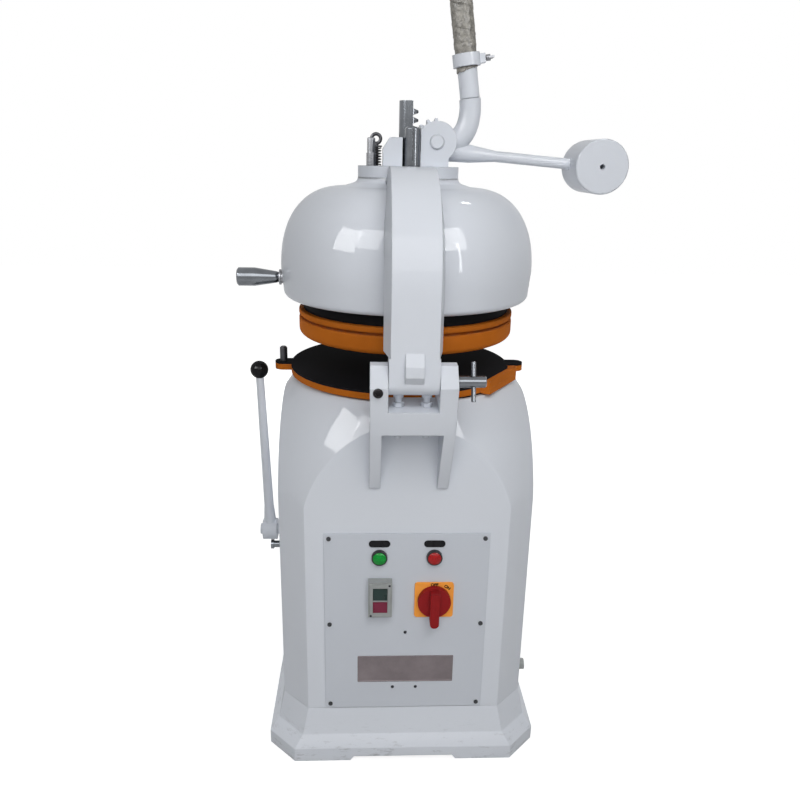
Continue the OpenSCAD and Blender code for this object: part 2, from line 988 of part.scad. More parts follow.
module head_dome() {
  color([0.9, 0.91, 0.93])
    difference() {
      rotate_extrude($fn = 180)
        polygon(dome_outline());
      translate([0, 0, release_z])
        along_x(13 + fit, -dome_radius - 20, -dome_radius + 40);
      front_profile([[-saddle_high, collar_top + 1], [saddle_high, collar_top + 1],
        [saddle_low, dome_top + 2 - gap], [-saddle_low, dome_top + 2 - gap]],
        -collar_r - collar_fillet - 4, -60);
    }
}

module rack_guide() {
  left = -51.5;
  right = -14;
  top = collar_top + 53;
  color([0.87, 0.89, 0.91])
    difference() {
      front_profile([[left, collar_top], [right, collar_top], [right, top], [left + 13.5, top],
        [left, top - 20.7]], -44, 34);
      translate([0, 0, collar_top - 1])
        cylinder(h = 60, r = spindle_r + fit);
    }
}

module lever_yoke() {
  foot = [[cheek_left, collar_top], [pivot_x + cheek_foot, collar_top],
    [pivot_x + cheek_foot, pivot_z], [cheek_left, pivot_z]];
  color([0.87, 0.89, 0.91])
    for (s = [0, 1])
      mirror([0, s, 0])
        difference() {
          union() {
            front_profile(foot, cheek_in, cheek_in + cheek_t);
            intersection() {
              translate([pivot_x, 0, pivot_z])
                along_y(cheek_r, cheek_in, cheek_in + cheek_t);
              box_between([cheek_left, 0, collar_top], [pivot_x + 50, 60, pivot_z + 50]);
            }
          }
          translate([pivot_x, 0, pivot_z])
            along_y(pivot_r, cheek_in - 1, cheek_in + cheek_t + 1);
        }
}

module pivot_pin() {
  end = cheek_in + cheek_t;
  color([0.86, 0.88, 0.9])
    translate([pivot_x, 0, pivot_z]) {
      along_y(pivot_r, -end - 3, end + 3);
      along_y(pivot_r - 2, -end - 4.5, end + 4.5);
    }
}

module guide_post() {
  color([0.8, 0.81, 0.83])
    translate([5, -42, collar_top])
      difference() {
        union() {
          cylinder(h = 69, r = 15);
          translate([0, 0, 69])
            cylinder(h = 3, r1 = 15, r2 = 12);
        }
        box_between([-1, -16, 10], [1, -12.5, 80]);
      }
}

module depth_stud() {
  color([0.7, 0.71, 0.73])
    translate([-74, 8, collar_top]) {
      cylinder(h = 51, r = 8);
      translate([0, 0, 51])
        cylinder(h = 2, r1 = 8, r2 = 6.5);
      cylinder(h = 24, r = 9.5, $fn = 6);
    }
}

module spring_eye() {
  ring = 9;
  wire = 3.5;
  seat = coil_high + wire_r + gap;
  color([0.6, 0.61, 0.63])
    translate([eye_x, eye_y, 0]) {
      translate([0, 0, collar_top])
        cylinder(h = seat - collar_top + 8, r = 5);
      translate([0, 0, seat])
        cylinder(h = 3, r = 12);
      translate([0, 0, seat + 7 + ring])
        rotate([90, 0, 0])
          rotate_extrude()
            translate([ring, 0])
              circle(r = wire, $fn = 32);
    }
}

module anchor_spring() {
  rings = 8 * coil_turns;
  sides = 6;
  points = [for (i = [0 : rings], j = [0 : sides - 1])
    let (t = i / 8, c = coil_point(t), a = 360 * j / sides)
    [c[0] + wire_r * cos(a) * cos(360 * t), c[1] + wire_r * cos(a) * sin(360 * t),
     c[2] + wire_r * sin(a)]];
  least = min([for (i = [0 : 7], j = [5 : 12])
    norm(coil_point(i / 8) - coil_point((i + j) / 8))]) - 2 * wire_r;
  echo(spring_least_gap = least);
  faces = concat(
    [[for (j = [sides - 1 : -1 : 0]) j]],
    [for (i = [0 : rings - 1], j = [0 : sides - 1]) let (k = (j + 1) % sides)
      [(i + 1) * sides + k, (i + 1) * sides + j, i * sides + j]],
    [for (i = [0 : rings - 1], j = [0 : sides - 1]) let (k = (j + 1) % sides)
      [i * sides + k, (i + 1) * sides + k, i * sides + j]],
    [[for (j = [0 : sides - 1]) rings * sides + j]]);
  color([0.2, 0.2, 0.22])
    translate([eye_x, eye_y, 0])
      polyhedron(points, faces, convexity = 10);
}

module release_bush() {
  color([0.6, 0.61, 0.63])
    translate([0, 0, release_z])
      difference() {
        union() {
          along_x(13, release_x + gap, -dome_radius + 18);
          along_x(16, release_x + gap, -dome_radius - 2);
        }
        along_x(release_r + fit, release_x - 1, -dome_radius + 19);
      }
}

module release_handle() {
  color([0.82, 0.83, 0.85])
    translate([0, 0, release_z]) {
      along_x(release_r, release_x - 20, -drum_r - 2);
      translate([release_x, 0, 0])
        rotate([0, -90, 0]) {
          cylinder(h = 6, r1 = 10, r2 = 12);
          translate([0, 0, 6])
            cylinder(h = release_len - 42, r1 = 12, r2 = 19);
          translate([0, 0, release_len - 36])
            cylinder(h = 33, r = 19);
          translate([0, 0, release_len - 3])
            cylinder(h = 3, r1 = 19, r2 = 16);
        }
    }
}

module neck_sweep(path, r0, r1, steps, sides) {
  points = [for (i = [0 : steps], j = [0 : sides - 1])
    let (t = i / steps, c = bezier(path, t), d = bezier_dir(path, t), r = r0 + (r1 - r0) * t,
      a = 360 * j / sides, n = [-d[1], d[0]] / norm(d))
    [c[0] + r * cos(a) * n[0], r * sin(a), c[1] + r * cos(a) * n[1]]];
  faces = concat(
    [[for (j = [sides - 1 : -1 : 0]) j]],
    [for (i = [0 : steps - 1], j = [0 : sides - 1]) let (k = (j + 1) % sides)
      [(i + 1) * sides + k, (i + 1) * sides + j, i * sides + j]],
    [for (i = [0 : steps - 1], j = [0 : sides - 1]) let (k = (j + 1) % sides)
      [i * sides + k, (i + 1) * sides + k, i * sides + j]],
    [[for (j = [0 : sides - 1]) steps * sides + j]]);
  polyhedron(points, faces, convexity = 6);
}

module lever_casting() {
  up = [-sin(handle_lean), cos(handle_lean)];
  path = [[pivot_x + neck_start, pivot_z - 2], [pivot_x + neck_run, pivot_z + 1],
    [elbow_x, elbow_z] - neck_rise * up, [elbow_x, elbow_z]];
  rod_end = (weight_x - pivot_x - root_end) / cos(rod_angle);
  rod_mid = (weight_x - pivot_x - root_mid) / cos(rod_angle);
  rod_len = (weight_x - pivot_x - root_start) / cos(rod_angle);
  color([0.87, 0.89, 0.91])
    difference() {
      union() {
        for (s = [0, 1])
          mirror([0, s, 0])
            translate([pivot_x, 0, pivot_z])
              along_y(hub_r, web_half - 2, hub_half);
        neck_sweep(path, 22, 21, 18, 20);
        translate([elbow_x, 0, elbow_z])
          rotate([0, -handle_lean, 0])
            translate([0, 0, -6])
              cylinder(h = 40, r = tube_in - fit);
        translate([weight_x, 0, weight_z])
          rotate([0, -90 + rod_angle, 0])
            rotate_extrude()
              polygon([[0, -rod_in], [weight_rod_r, -rod_in], [weight_rod_r, rod_end],
                [root_r2, rod_mid], [root_r1, rod_len], [0, rod_len]]);
      }
      translate([pivot_x, 0, pivot_z]) {
        along_y(pivot_r + fit, -hub_half - 1, hub_half + 1);
        along_y(hub_r + 1, -web_half, web_half);
      }
    }
}

module lever_pinion() {
  first = 4;
  last = 9;
  steps = 5;
  tooth = [for (i = [0 : steps]) let (r = base_r + (tip_r - base_r) * i / steps) [r, flank(r)]];
  color([0.5, 0.51, 0.54])
    translate([pivot_x, 0, pivot_z])
      rotate([90, 0, 0])
        translate([0, 0, -web_half + fit])
          linear_extrude(height = 2 * (web_half - fit))
            difference() {
              union() {
                circle(r = root_r);
                for (k = [first : last])
                  polygon(concat(
                    [polar(root_r - 2, 22.5 * k - flank(base_r))],
                    [for (p = tooth) polar(p[0], 22.5 * k - p[1])],
                    [for (i = [steps : -1 : 0]) polar(tooth[i][0], 22.5 * k + tooth[i][1])],
                    [polar(root_r - 2, 22.5 * k + flank(base_r))]));
              }
              circle(r = pivot_r + fit);
            }
}

module on_handle() {
  translate([elbow_x, 0, elbow_z])
    rotate([0, -handle_lean, 0])
      children();
}

module handle_tube() {
  color([0.85, 0.87, 0.89])
    on_handle()
      tube(tube_r, tube_in, 1, handle_reach);
}

module handle_grip() {
  color([0.55, 0.53, 0.48])
    on_handle()
      difference() {
        union() {
          translate([0, 0, grip_low])
            cylinder(h = handle_reach - grip_low, r = grip_r);
          translate([0, 0, handle_reach])
            cylinder(h = 6, r1 = grip_r, r2 = grip_r - 5);
        }
        translate([0, 0, grip_low - 1])
          cylinder(h = handle_reach - grip_low + 1, r = tube_r);
      }
}

module handle_clamp() {
  lug = 36;
  color([0.8, 0.81, 0.83])
    on_handle()
      difference() {
        union() {
          translate([0, 0, clamp_low])
            cylinder(h = clamp_h, r = grip_r + 4.5);
          box_between([grip_r, -8, clamp_low + 3], [lug, 8, clamp_low + clamp_h - 3]);
        }
        translate([0, 0, clamp_low - 1])
          cylinder(h = clamp_h + 2, r = grip_r);
        translate([0, 0, clamp_low + clamp_h / 2])
          along_x(3 + fit, 0, lug + 1);
      }
}

module clamp_screw() {
  color([0.75, 0.76, 0.78])
    on_handle()
      translate([0, 0, clamp_low + clamp_h / 2]) {
        along_x(wing_r, grip_r + gap, wing_end - 2);
        along_x(2 * wing_r, wing_end - 14, wing_end - 6);
        box_between([wing_end - 11, -wing_half, -2], [wing_end, wing_half, 2]);
      }
}

module counterweight() {
  half = weight_length / 2;
  edge = 2;
  color([0.88, 0.89, 0.91])
    translate([weight_x, 0, weight_z])
      difference() {
        union() {
          along_y(weight_radius, -half + edge, half - edge);
          translate([0, half - edge, 0])
            rotate([-90, 0, 0])
              cylinder(h = edge, r1 = weight_radius, r2 = weight_radius - edge);
          translate([0, -half + edge, 0])
            rotate([90, 0, 0])
              cylinder(h = edge, r1 = weight_radius, r2 = weight_radius - edge);
        }
        rotate([0, -90 + rod_angle, 0])
          translate([0, 0, -rod_in - gap])
            cylinder(h = rod_in + 2 * weight_radius, r = weight_rod_r + fit);
        along_y(5, -half - 1, -weight_rod_r - 4);
      }
}

function rack_gap(z) = let (w = pitch / 4 + backlash / 2, s = tan(20), out = spindle_r + 2)
  [[rack_root, z - w + (rack_line - rack_root) * s], [out, z - w - (out - rack_line) * s],
   [out, z + w + (out - rack_line) * s], [rack_root, z + w - (rack_line - rack_root) * s]];

module press_spindle() {
  color([0.8, 0.81, 0.83])
    difference() {
      union() {
        translate([0, 0, drum_top])
          cylinder(h = spindle_top - drum_top, r = spindle_r);
        translate([0, 0, drum_top])
          cylinder(h = 12, r = flange_r);
      }
      for (k = [-2 : 4])
        front_profile(rack_gap(pivot_z + k * pitch), -spindle_r - 1, spindle_r + 1);
      box_between([rack_tip, -spindle_r - 1, pivot_z - 2.5 * pitch],
        [spindle_r + 1, spindle_r + 1, spindle_top + 1]);
      box_between([rack_root, -spindle_r - 1, pivot_z + 4 * pitch],
        [spindle_r + 1, spindle_r + 1, spindle_top + 1]);
    }
}

module press_drum() {
  color([0.08, 0.08, 0.09])
    difference() {
      translate([0, 0, drum_z])
        cylinder(h = drum_top - drum_z, r = drum_r, $fn = 180);
      translate([0, 0, drum_z - 1])
        cylinder(h = drum_top - drum_z - 11, r = drum_r - drum_wall, $fn = 180);
    }
}

function ring_edge(z, r, a0, a1) = [for (k = [0 : 3])
  let (t = a0 + (a1 - a0) * k / 3) [ring_radius - r + r * cos(t), z + r * sin(t)]];

module pressure_ring() {
  edge = 3;
  bulge = 12;
  color([0.85, 0.42, 0.1])
    rotate_extrude($fn = 180)
      polygon(concat([[cell_radius, ring_z]],
        [for (t = [-90 : 15 : 0]) [ring_radius + bulge * (cos(t) - 1), ring_z + bulge * (1 + sin(t))]],
        ring_edge(groove_low - edge, edge, 0, 90),
        [[ring_waist, groove_low], [ring_waist, groove_high]],
        ring_edge(groove_high + edge, edge, -90, 0),
        ring_edge(ring_top - edge, edge, 0, 90),
        [[drum_r, ring_top], [drum_r, drum_z], [cell_radius, drum_z]]));
}

module blades(t, z0, z1, reach) {
  for (k = [0 : 1])
    rotate([0, 0, 90 * k])
      box_between([-ring_a, -t / 2, z0], [ring_a, t / 2, z1]);
  for (k = [0 : 9])
    rotate([0, 0, 36 * k])
      box_between([ring_a, -t / 2, z0], [ring_b, t / 2, z1]);
  for (k = [0 : 15])
    rotate([0, 0, 22.5 * k])
      box_between([ring_b, -t / 2, z0], [reach, t / 2, z1]);
  tube(ring_a + t / 2, ring_a - t / 2, z0, z1);
  tube(ring_b + t / 2, ring_b - t / 2, z0, z1);
}

module at_cells() {
  for (k = [0 : 3])
    rotate([0, 0, 45 + 90 * k])
      translate([0.6 * ring_a, 0, 0])
        children();
  for (k = [0 : 9])
    rotate([0, 0, 18 + 36 * k])
      translate([(ring_a + ring_b) / 2, 0, 0])
        children();
  for (k = [0 : 15])
    rotate([0, 0, 11.25 + 22.5 * k])
      translate([(ring_b + cell_radius) / 2, 0, 0])
        children();
}

module press_segments() {
  color([0.82, 0.82, 0.8]) {
    difference() {
      translate([0, 0, segment_z])
        cylinder(h = segment_t, r = segment_r);
      blades(slot, segment_z - 1, segment_z + segment_t + 1, cell_radius + 2);
    }
    at_cells()
      translate([0, 0, segment_z + segment_t / 2])
        cylinder(h = drum_top - 12 - segment_z - segment_t / 2, r = rod_r);
  }
}

module cutter_knives() {
  color([0.7, 0.71, 0.73]) {
    blades(knife_thickness, segment_z, carrier_z + 1, carrier_r);
    difference() {
      translate([0, 0, carrier_z])
        cylinder(h = carrier_t, r = carrier_r);
      at_cells()
        translate([0, 0, carrier_z - 1])
          cylinder(h = carrier_t + 2, r = rod_r + 0.4);
    }
  }
}

module hinge_pin() {
  reach = ear_out + 50;
  bar = reach - 22;
  color([0.82, 0.83, 0.85])
    translate([0, hinge_y, hinge_z])
      difference() {
        union() {
          along_x(pin_r, -ear_out, reach - 2);
          translate([reach - 2, 0, 0])
            rotate([0, 90, 0])
              cylinder(h = 2, r1 = pin_r, r2 = pin_r - 2);
        }
        translate([bar, 0, 0])
          rotate([bar_tilt, 0, 0])
            translate([0, 0, -20])
              cylinder(h = 40, r = bar_r);
      }
}

module tommy_bar() {
  bar = ear_out + 28;
  half = 35;
  color([0.82, 0.83, 0.85])
    translate([bar, hinge_y, hinge_z])
      rotate([bar_tilt, 0, 0])
        translate([0, 0, -half]) {
          translate([0, 0, 1])
            cylinder(h = 2 * half - 2, r = bar_r);
          translate([0, 0, 2 * half - 1])
            cylinder(h = 1, r1 = bar_r, r2 = bar_r - 1);
          cylinder(h = 1, r1 = bar_r - 1, r2 = bar_r);
        }
}

module round_lever() {
  arm = (round_lever_length - 12) / cos(lean);
  color([0.86, 0.88, 0.9])
    translate([0, 0, round_z]) {
      along_x(24, round_x - 16, round_x + 16);
      along_x(round_shaft_r, round_x - 22, -half_w + 60);
      along_x(34, -half_w + 40, -half_w + 54);
      translate([round_x, 0, 0])
        rotate([0, -lean, 0]) {
          translate([0, 0, 18])
            cylinder(h = 40, r1 = 14, r2 = 11);
          translate([0, 0, 10])
            cylinder(h = arm - 10, r1 = 11, r2 = 8.5);
        }
    }
}

module lever_knob() {
  color([0.05, 0.05, 0.06])
    translate([0, 0, round_z])
      difference() {
        translate([ball_x, 0, round_lever_length])
          sphere(r = ball_radius);
        translate([round_x, 0, 0])
          rotate([0, -lean, 0])
            translate([0, 0, 10])
              cylinder(h = (round_lever_length - 12) / cos(lean) - 10, r1 = 11, r2 = 8.5);
      }
}

base_casting();
pedestal_shell();
control_panel();
cover_screws();
rear_cover();
panel_devices();
green_lens();
red_lens();
button_box();
start_button();
stop_button();
isolator_plate();
isolator_knob();
hinge_bracket();
level_bolts();
bearing_plate();
upper_bearing();
foot_bearing();
motor_body();
motor_pulley();
drive_belt();
cable_gland();
lever_bush();
stop_pin();
main_shaft();
driven_pulley();
idler_left();
idler_right();
rounding_table();
dough_plate();
table_bearing();
locating_stud();
plate_stop();
head_arm();
head_dome();
rack_guide();
lever_yoke();
pivot_pin();
guide_post();
depth_stud();
spring_eye();
anchor_spring();
release_bush();
release_handle();
lever_casting();
lever_pinion();
handle_tube();
handle_grip();
handle_clamp();
clamp_screw();
counterweight();
press_spindle();
press_drum();
pressure_ring();
press_segments();
cutter_knives();
hinge_pin();
tommy_bar();
round_lever();
lever_knob();
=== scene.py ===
"""Looks of the divider rounder: finishes, small fittings, handle wrap and stage."""

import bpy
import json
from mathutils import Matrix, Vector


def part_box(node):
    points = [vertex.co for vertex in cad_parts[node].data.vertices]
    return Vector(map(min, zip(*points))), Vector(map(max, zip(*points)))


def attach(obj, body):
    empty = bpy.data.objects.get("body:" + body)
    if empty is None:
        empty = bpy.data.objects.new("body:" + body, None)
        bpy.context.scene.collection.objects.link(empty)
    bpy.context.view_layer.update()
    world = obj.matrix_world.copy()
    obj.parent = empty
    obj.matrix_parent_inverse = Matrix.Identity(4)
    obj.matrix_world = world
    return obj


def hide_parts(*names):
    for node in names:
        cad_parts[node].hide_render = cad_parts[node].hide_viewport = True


bl_info = {
    "name": "Divider rounder looks",
    "version": (1, 0, 0),
    "blender": (4, 5, 0),
    "location": "View3D > Sidebar > Rounder",
    "description": "Finishes and small fittings of a bakery divider rounder",
    "category": "Object",
}

import json
import math

import bmesh
import bpy
from bpy.props import FloatProperty, FloatVectorProperty, PointerProperty
from mathutils import Matrix, Vector, noise

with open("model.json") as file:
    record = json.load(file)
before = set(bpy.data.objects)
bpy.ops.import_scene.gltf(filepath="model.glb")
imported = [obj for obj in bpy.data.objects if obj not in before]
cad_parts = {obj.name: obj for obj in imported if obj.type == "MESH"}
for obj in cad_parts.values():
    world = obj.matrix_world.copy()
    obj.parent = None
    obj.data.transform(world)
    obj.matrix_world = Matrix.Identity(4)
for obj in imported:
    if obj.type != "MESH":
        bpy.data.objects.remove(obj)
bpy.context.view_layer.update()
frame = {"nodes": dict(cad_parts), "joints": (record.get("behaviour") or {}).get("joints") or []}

# Linear colours that settle on the finishes; the dust, grease and fold colours also paint shade
# into corners and folds
DUST_AND_SHADE = (0.16, 0.145, 0.125, 1.0)
PLASTIC_DUST_AND_SHADE = (0.12, 0.11, 0.10, 1.0)
GREASE_AND_SHADE = (0.035, 0.03, 0.026, 1.0)
FOLD_DIRT_AND_SHADE = (0.035, 0.03, 0.024, 1.0)
SCUFF = (0.09, 0.085, 0.08, 1.0)

# Rays that one bevel or occlusion node sends out
SHADER_SAMPLES = 6


def length(label, note, default):
    """A length that shows in the sidebar."""
    return FloatProperty(name=label, description=note, default=default, min=0.0, unit="LENGTH")


def angle(label, note, default):
    """An angle that shows in the sidebar."""
    return FloatProperty(name=label, description=note, default=default, subtype="ANGLE")


def amount(label, note, default):
    """A plain number that shows in the sidebar."""
    return FloatProperty(name=label, description=note, default=default)


def tint(label, note, default):
    """A linear colour that shows in the sidebar."""
    return FloatVectorProperty(name=label, description=note, default=default, size=3,
                               min=0.0, max=1.0, subtype="COLOR")


class RounderSizes(bpy.types.PropertyGroup):
    """Sizes of the small pieces that are added to the machine."""

    plate_width: length("Plate width", "Width of the bare plate on the panel", 0.197)
    plate_height: length("Plate height", "Height of the bare plate on the panel", 0.063)
    plate_thickness: length("Plate thickness", "Thickness of the bare plate", 0.0014)
    plate_drop: length("Plate drop", "Plate centre below the middle of the panel", 0.108)
    label_width: length("Label width", "Width of the oval tags above the lamps", 0.042)
    label_height: length("Label height", "Height of the oval tags above the lamps", 0.0145)
    label_thickness: length("Label thickness", "Thickness of the oval tags", 0.0012)
    label_rise: length("Label rise", "Tag centre above the lamp centre", 0.0285)
    screw_radius: length("Screw radius", "Head radius of the small panel screws", 0.0034)
    ear_screw_radius: length("Ear screw radius", "Radius of the set screw in the ear", 0.0086)
    ear_screw_inset: length("Ear screw inset", "Set screw in from the ear's outer face", 0.0136)
    ear_screw_drop: length("Ear screw drop", "Set screw below the hinge pin", 0.0118)
    wrap_lap: length("Wrap lap", "Step where one turn of the wrap lies on the next", 0.0007)
    wrap_pitch: length("Wrap pitch", "Distance between turns of the wrap", 0.042)
    wrap_crinkle: length("Wrap crinkle", "Depth of the creases in the wrap", 0.0016)
    mark_height: length("Mark height", "Letter size of the switch marks", 0.0086)
    mark_weight: length("Mark weight", "Growth of the letters' strokes", 0.0004)


class RounderColours(bpy.types.PropertyGroup):
    """Colours of the finishes."""

    enamel: tint("Enamel", "White enamel of the castings", (0.715, 0.745, 0.80))
    # A darker copy of the white enamel: partly the panel's own paint, partly painted shade of its
    # front face
    panel: tint("Panel", "Enamel of the control panel", (0.62, 0.65, 0.705))
    orange: tint("Orange", "Paint of the table and ring", (0.60, 0.165, 0.018))
    # The drum's black stands in for the shade in the gap under the dome: a dark part put in as
    # painted shade
    black: tint("Black", "Paint of the press drum", (0.012, 0.012, 0.014))
    plate: tint("Dough plate", "Coating of the dough plate", (0.014, 0.014, 0.016))
    wrap: tint("Wrap", "Film wound round the handle", (0.21, 0.198, 0.172))
    yellow: tint("Yellow", "Main switch plate", (1.0, 0.39, 0.065))
    red: tint("Red", "Main switch knob", (0.30, 0.010, 0.012))


class RounderStage(bpy.types.PropertyGroup):
    """Camera and light."""

    camera_place: FloatVectorProperty(name="Camera place", description="Position of the camera",
                                      default=(-0.07988, -1.54306, 1.20988), size=3,
                                      subtype="TRANSLATION")
    camera_yaw: angle("Camera yaw", "Turn to the right of +Y", 0.0469)
    camera_pitch: angle("Camera pitch", "Tilt below the level", 0.3131)
    camera_roll: angle("Camera roll", "Roll about the view axis", 0.0194)
    camera_lens: amount("Camera lens", "Focal length in millimetres", 33.3)
    fill: amount("Fill", "Strength of the even light", 0.10)
    front: amount("Front", "Power of the light over the camera", 27.5)
    left: amount("Left", "Power of the soft light from the left", 3.0)
    right: amount("Right", "Power of the soft light above the front, a little to the right", 9.0)
    low: amount("Low", "Power of the light near the floor", 3.4)
    top: amount("Top", "Power of the overhead light", 6.0)
    back: amount("Back", "Power of the light behind", 26.0)
    rear: amount("Rear sides", "Power of the lights behind each side", 9.0)
    window: amount("Window", "Power of the left window that gloss mirrors", 58.0)
    pane: amount("Pane", "Power of the dim pane beside the window", 32.0)
    door: amount("Door", "Power of the right door that gloss mirrors", 55.0)
    strip: amount("Strip", "Power of the tube that gloss mirrors", 9.0)
    spot: amount("Spot", "Power of the small lamp that gloss mirrors", 5.0)
    floor_size: length("Floor size", "Side of the floor sheet", 14.0)


def joint_row(name):
    """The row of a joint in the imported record."""
    return next(row for row in frame["joints"] if row["name"] == name)


def box_centre(name):
    """Centre of a CAD node's box."""
    low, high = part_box(name)
    return (low + high) / 2


def mesh_object(name, mesh):
    """Puts a mesh into the scene as a new piece."""
    piece = bpy.data.objects.new(name, mesh)
    bpy.context.scene.collection.objects.link(piece)
    return piece


def finished(piece, material, smooth_angle=35.0):
    """Gives a new piece its material and smooth shading."""
    piece.data.materials.append(material)
    piece.data.polygons.foreach_set("use_smooth", [True] * len(piece.data.polygons))
    piece.data.set_sharp_from_angle(angle=math.radians(smooth_angle))
    return piece


# Node helpers


def put(tree, kind, links=None, **settings):
    """Adds a node, sets its options and connects or sets its inputs."""
    item = tree.nodes.new(kind)
    for key, value in settings.items():
        setattr(item, key, value)
    for socket, source in (links or {}).items():
        target = item.inputs[socket]
        if isinstance(source, bpy.types.NodeSocket):
            tree.links.new(source, target)
        else:
            target.default_value = source
    return item


def math_of(tree, operation, a, b, clamp=False):
    """A Math node's result."""
    return put(tree, "ShaderNodeMath", {0: a, 1: b}, operation=operation,
               use_clamp=clamp).outputs[0]


def ranged(tree, value, low, high, to_low, to_high):
    """A value mapped from one range to another."""
    return put(tree, "ShaderNodeMapRange", {0: value, 1: low, 2: high, 3: to_low,
                                            4: to_high}).outputs[0]


def share_of(tree, value, start, end):
    """A value as a share, nought at the start of a range and one at its end."""
    return ranged(tree, value, start, end, 0.0, 1.0)


def mixed(tree, factor, a, b):
    """Two colours mixed by a factor."""
    return put(tree, "ShaderNodeMix", {0: factor, 6: a, 7: b}, data_type="RGBA").outputs[2]


def noise_of(tree, vector, scale, detail, rough=0.55):
    """Value of a noise texture."""
    return put(tree, "ShaderNodeTexNoise", {"Vector": vector, "Scale": scale, "Detail": detail,
                                            "Roughness": rough}).outputs[0]


def stretched(tree, vector, factors):
    """Coordinates multiplied along each axis."""
    return put(tree, "ShaderNodeVectorMath", {0: vector, 1: factors},
               operation="MULTIPLY").outputs[0]


def place_of(tree):
    """Coordinates fixed to the piece."""
    return put(tree, "ShaderNodeTexCoord").outputs["Object"]


def rgba(colour, gain=1.0):
    """A colour as four numbers, brighter or darker by a gain."""
    return (*(min(1.0, part * gain) for part in colour), 1.0)


def start_group(name, inputs, outputs):
    """An empty shader group with its sockets."""
    tree = bpy.data.node_groups.new(name, "ShaderNodeTree")
    for label, default in inputs.items():
        kind = "NodeSocketVector" if isinstance(default, tuple) else "NodeSocketFloat"
        tree.interface.new_socket(label, in_out="INPUT", socket_type=kind).default_value = default
    for label, kind in outputs.items():
        tree.interface.new_socket(label, in_out="OUTPUT", socket_type="NodeSocket" + kind)
    return tree, tree.nodes.new("NodeGroupInput").outputs, tree.nodes.new("NodeGroupOutput").inputs


def patchy_mask(tree, area, patch, given, out):
    """Puts out the mask of an area that patches break up."""
    both = math_of(tree, "MULTIPLY", area, patch)
    tree.links.new(math_of(tree, "MULTIPLY", both, given["Amount"], clamp=True), out["Mask"])


def edge_wear_group():
    """Mask of worn edges and a normal that rounds them."""
    tree, given, out = start_group("edge_wear",
                                   {"Radius": 0.0015, "Breakup": 140.0, "Amount": 0.5},
                                   {"Mask": "Float", "Normal": "Vector"})
    rounded = put(tree, "ShaderNodeBevel", {"Radius": given["Radius"]},
                  samples=SHADER_SAMPLES).outputs[0]
    flat = put(tree, "ShaderNodeNewGeometry").outputs["Normal"]
    along = put(tree, "ShaderNodeVectorMath", {0: rounded, 1: flat}, operation="DOT_PRODUCT")
    edge = share_of(tree, along.outputs["Value"], start=0.985, end=0.80)
    cloud = noise_of(tree, place_of(tree), given["Breakup"], detail=4.0)
    patchy_mask(tree, edge, share_of(tree, cloud, start=0.45, end=0.62), given, out)
    tree.links.new(rounded, out["Normal"])
    return tree


def paint_skin_group():
    """Fine ripple of sprayed paint and its slow change of tone."""
    tree, given, out = start_group("paint_skin", {"Scale": 260.0, "Patch": 3.5},
                                   {"Height": "Float", "Tone": "Float"})
    place = place_of(tree)
    tree.links.new(noise_of(tree, place, given["Scale"], detail=2.0, rough=0.4), out["Height"])
    tree.links.new(noise_of(tree, place, given["Patch"], detail=4.0, rough=0.6), out["Tone"])
    return tree


def crevice_dust_group():
    """Mask of dust that settles in corners, found by occlusion, so that it also paints shade where
    corners are shut.
    """
    tree, given, out = start_group("crevice_dust",
                                   {"Distance": 0.02, "Amount": 0.4, "Breakup": 60.0},
                                   {"Mask": "Float"})
    open_part = put(tree, "ShaderNodeAmbientOcclusion", {"Distance": given["Distance"]},
                    samples=SHADER_SAMPLES).outputs["AO"]
    shut = share_of(tree, open_part, start=0.75, end=0.2)
    cloud = noise_of(tree, place_of(tree), given["Breakup"], detail=5.0)
    patch = ranged(tree, cloud, low=0.35, high=0.7, to_low=0.2, to_high=1.0)
    patchy_mask(tree, shut, patch, given, out)
    return tree


def metal_grain_group():
    """Lines of a turned, ground or brushed surface."""
    tree, given, out = start_group("metal_grain", {"Stretch": (40.0, 40.0, 2400.0), "Patch": 25.0},
                                   {"Height": "Float", "Tone": "Float"})
    place = place_of(tree)
    drawn = stretched(tree, place, given["Stretch"])
    tree.links.new(noise_of(tree, drawn, 1.0, detail=2.0, rough=0.5), out["Height"])
    tree.links.new(noise_of(tree, place, given["Patch"], detail=4.0, rough=0.6), out["Tone"])
    return tree


def speckle_group():
    """Fine pitted grain of moulded or cast surfaces."""
    tree, given, out = start_group("speckle", {"Scale": 900.0, "Patch": 40.0},
                                   {"Height": "Float", "Tone": "Float"})
    place = place_of(tree)
    pits = put(tree, "ShaderNodeTexVoronoi", {"Vector": place, "Scale": given["Scale"]}).outputs[0]
    tree.links.new(pits, out["Height"])
    tree.links.new(noise_of(tree, place, given["Patch"], detail=5.0, rough=0.65), out["Tone"])
    return tree


def floor_scuff_group():
    """Mask of scuffs that thin out above the floor."""
    tree, given, out = start_group("floor_scuff", {"Reach": 0.09, "Amount": 0.5}, {"Mask": "Float"})
    place = place_of(tree)
    height = put(tree, "ShaderNodeSeparateXYZ", {0: place}).outputs["Z"]
    low = ranged(tree, height, low=0.0, high=given["Reach"], to_low=1.0, to_high=0.0)
    drawn = stretched(tree, place, (30.0, 30.0, 110.0))
    cloud = noise_of(tree, drawn, 1.0, detail=6.0, rough=0.7)
    patchy_mask(tree, low, share_of(tree, cloud, start=0.56, end=0.70), given, out)
    return tree


GROUP_MAKERS = {"edge_wear": edge_wear_group, "paint_skin": paint_skin_group,
                "crevice_dust": crevice_dust_group, "metal_grain": metal_grain_group,
                "speckle": speckle_group, "floor_scuff": floor_scuff_group}


def effect(tree, name, **values):
    """Places a shared group in a material with its own values."""
    shared = bpy.data.node_groups.get(name) or GROUP_MAKERS[name]()
    item = put(tree, "ShaderNodeGroup", node_tree=shared)
    for label, value in values.items():
        item.inputs[label].default_value = value
    return item.outputs


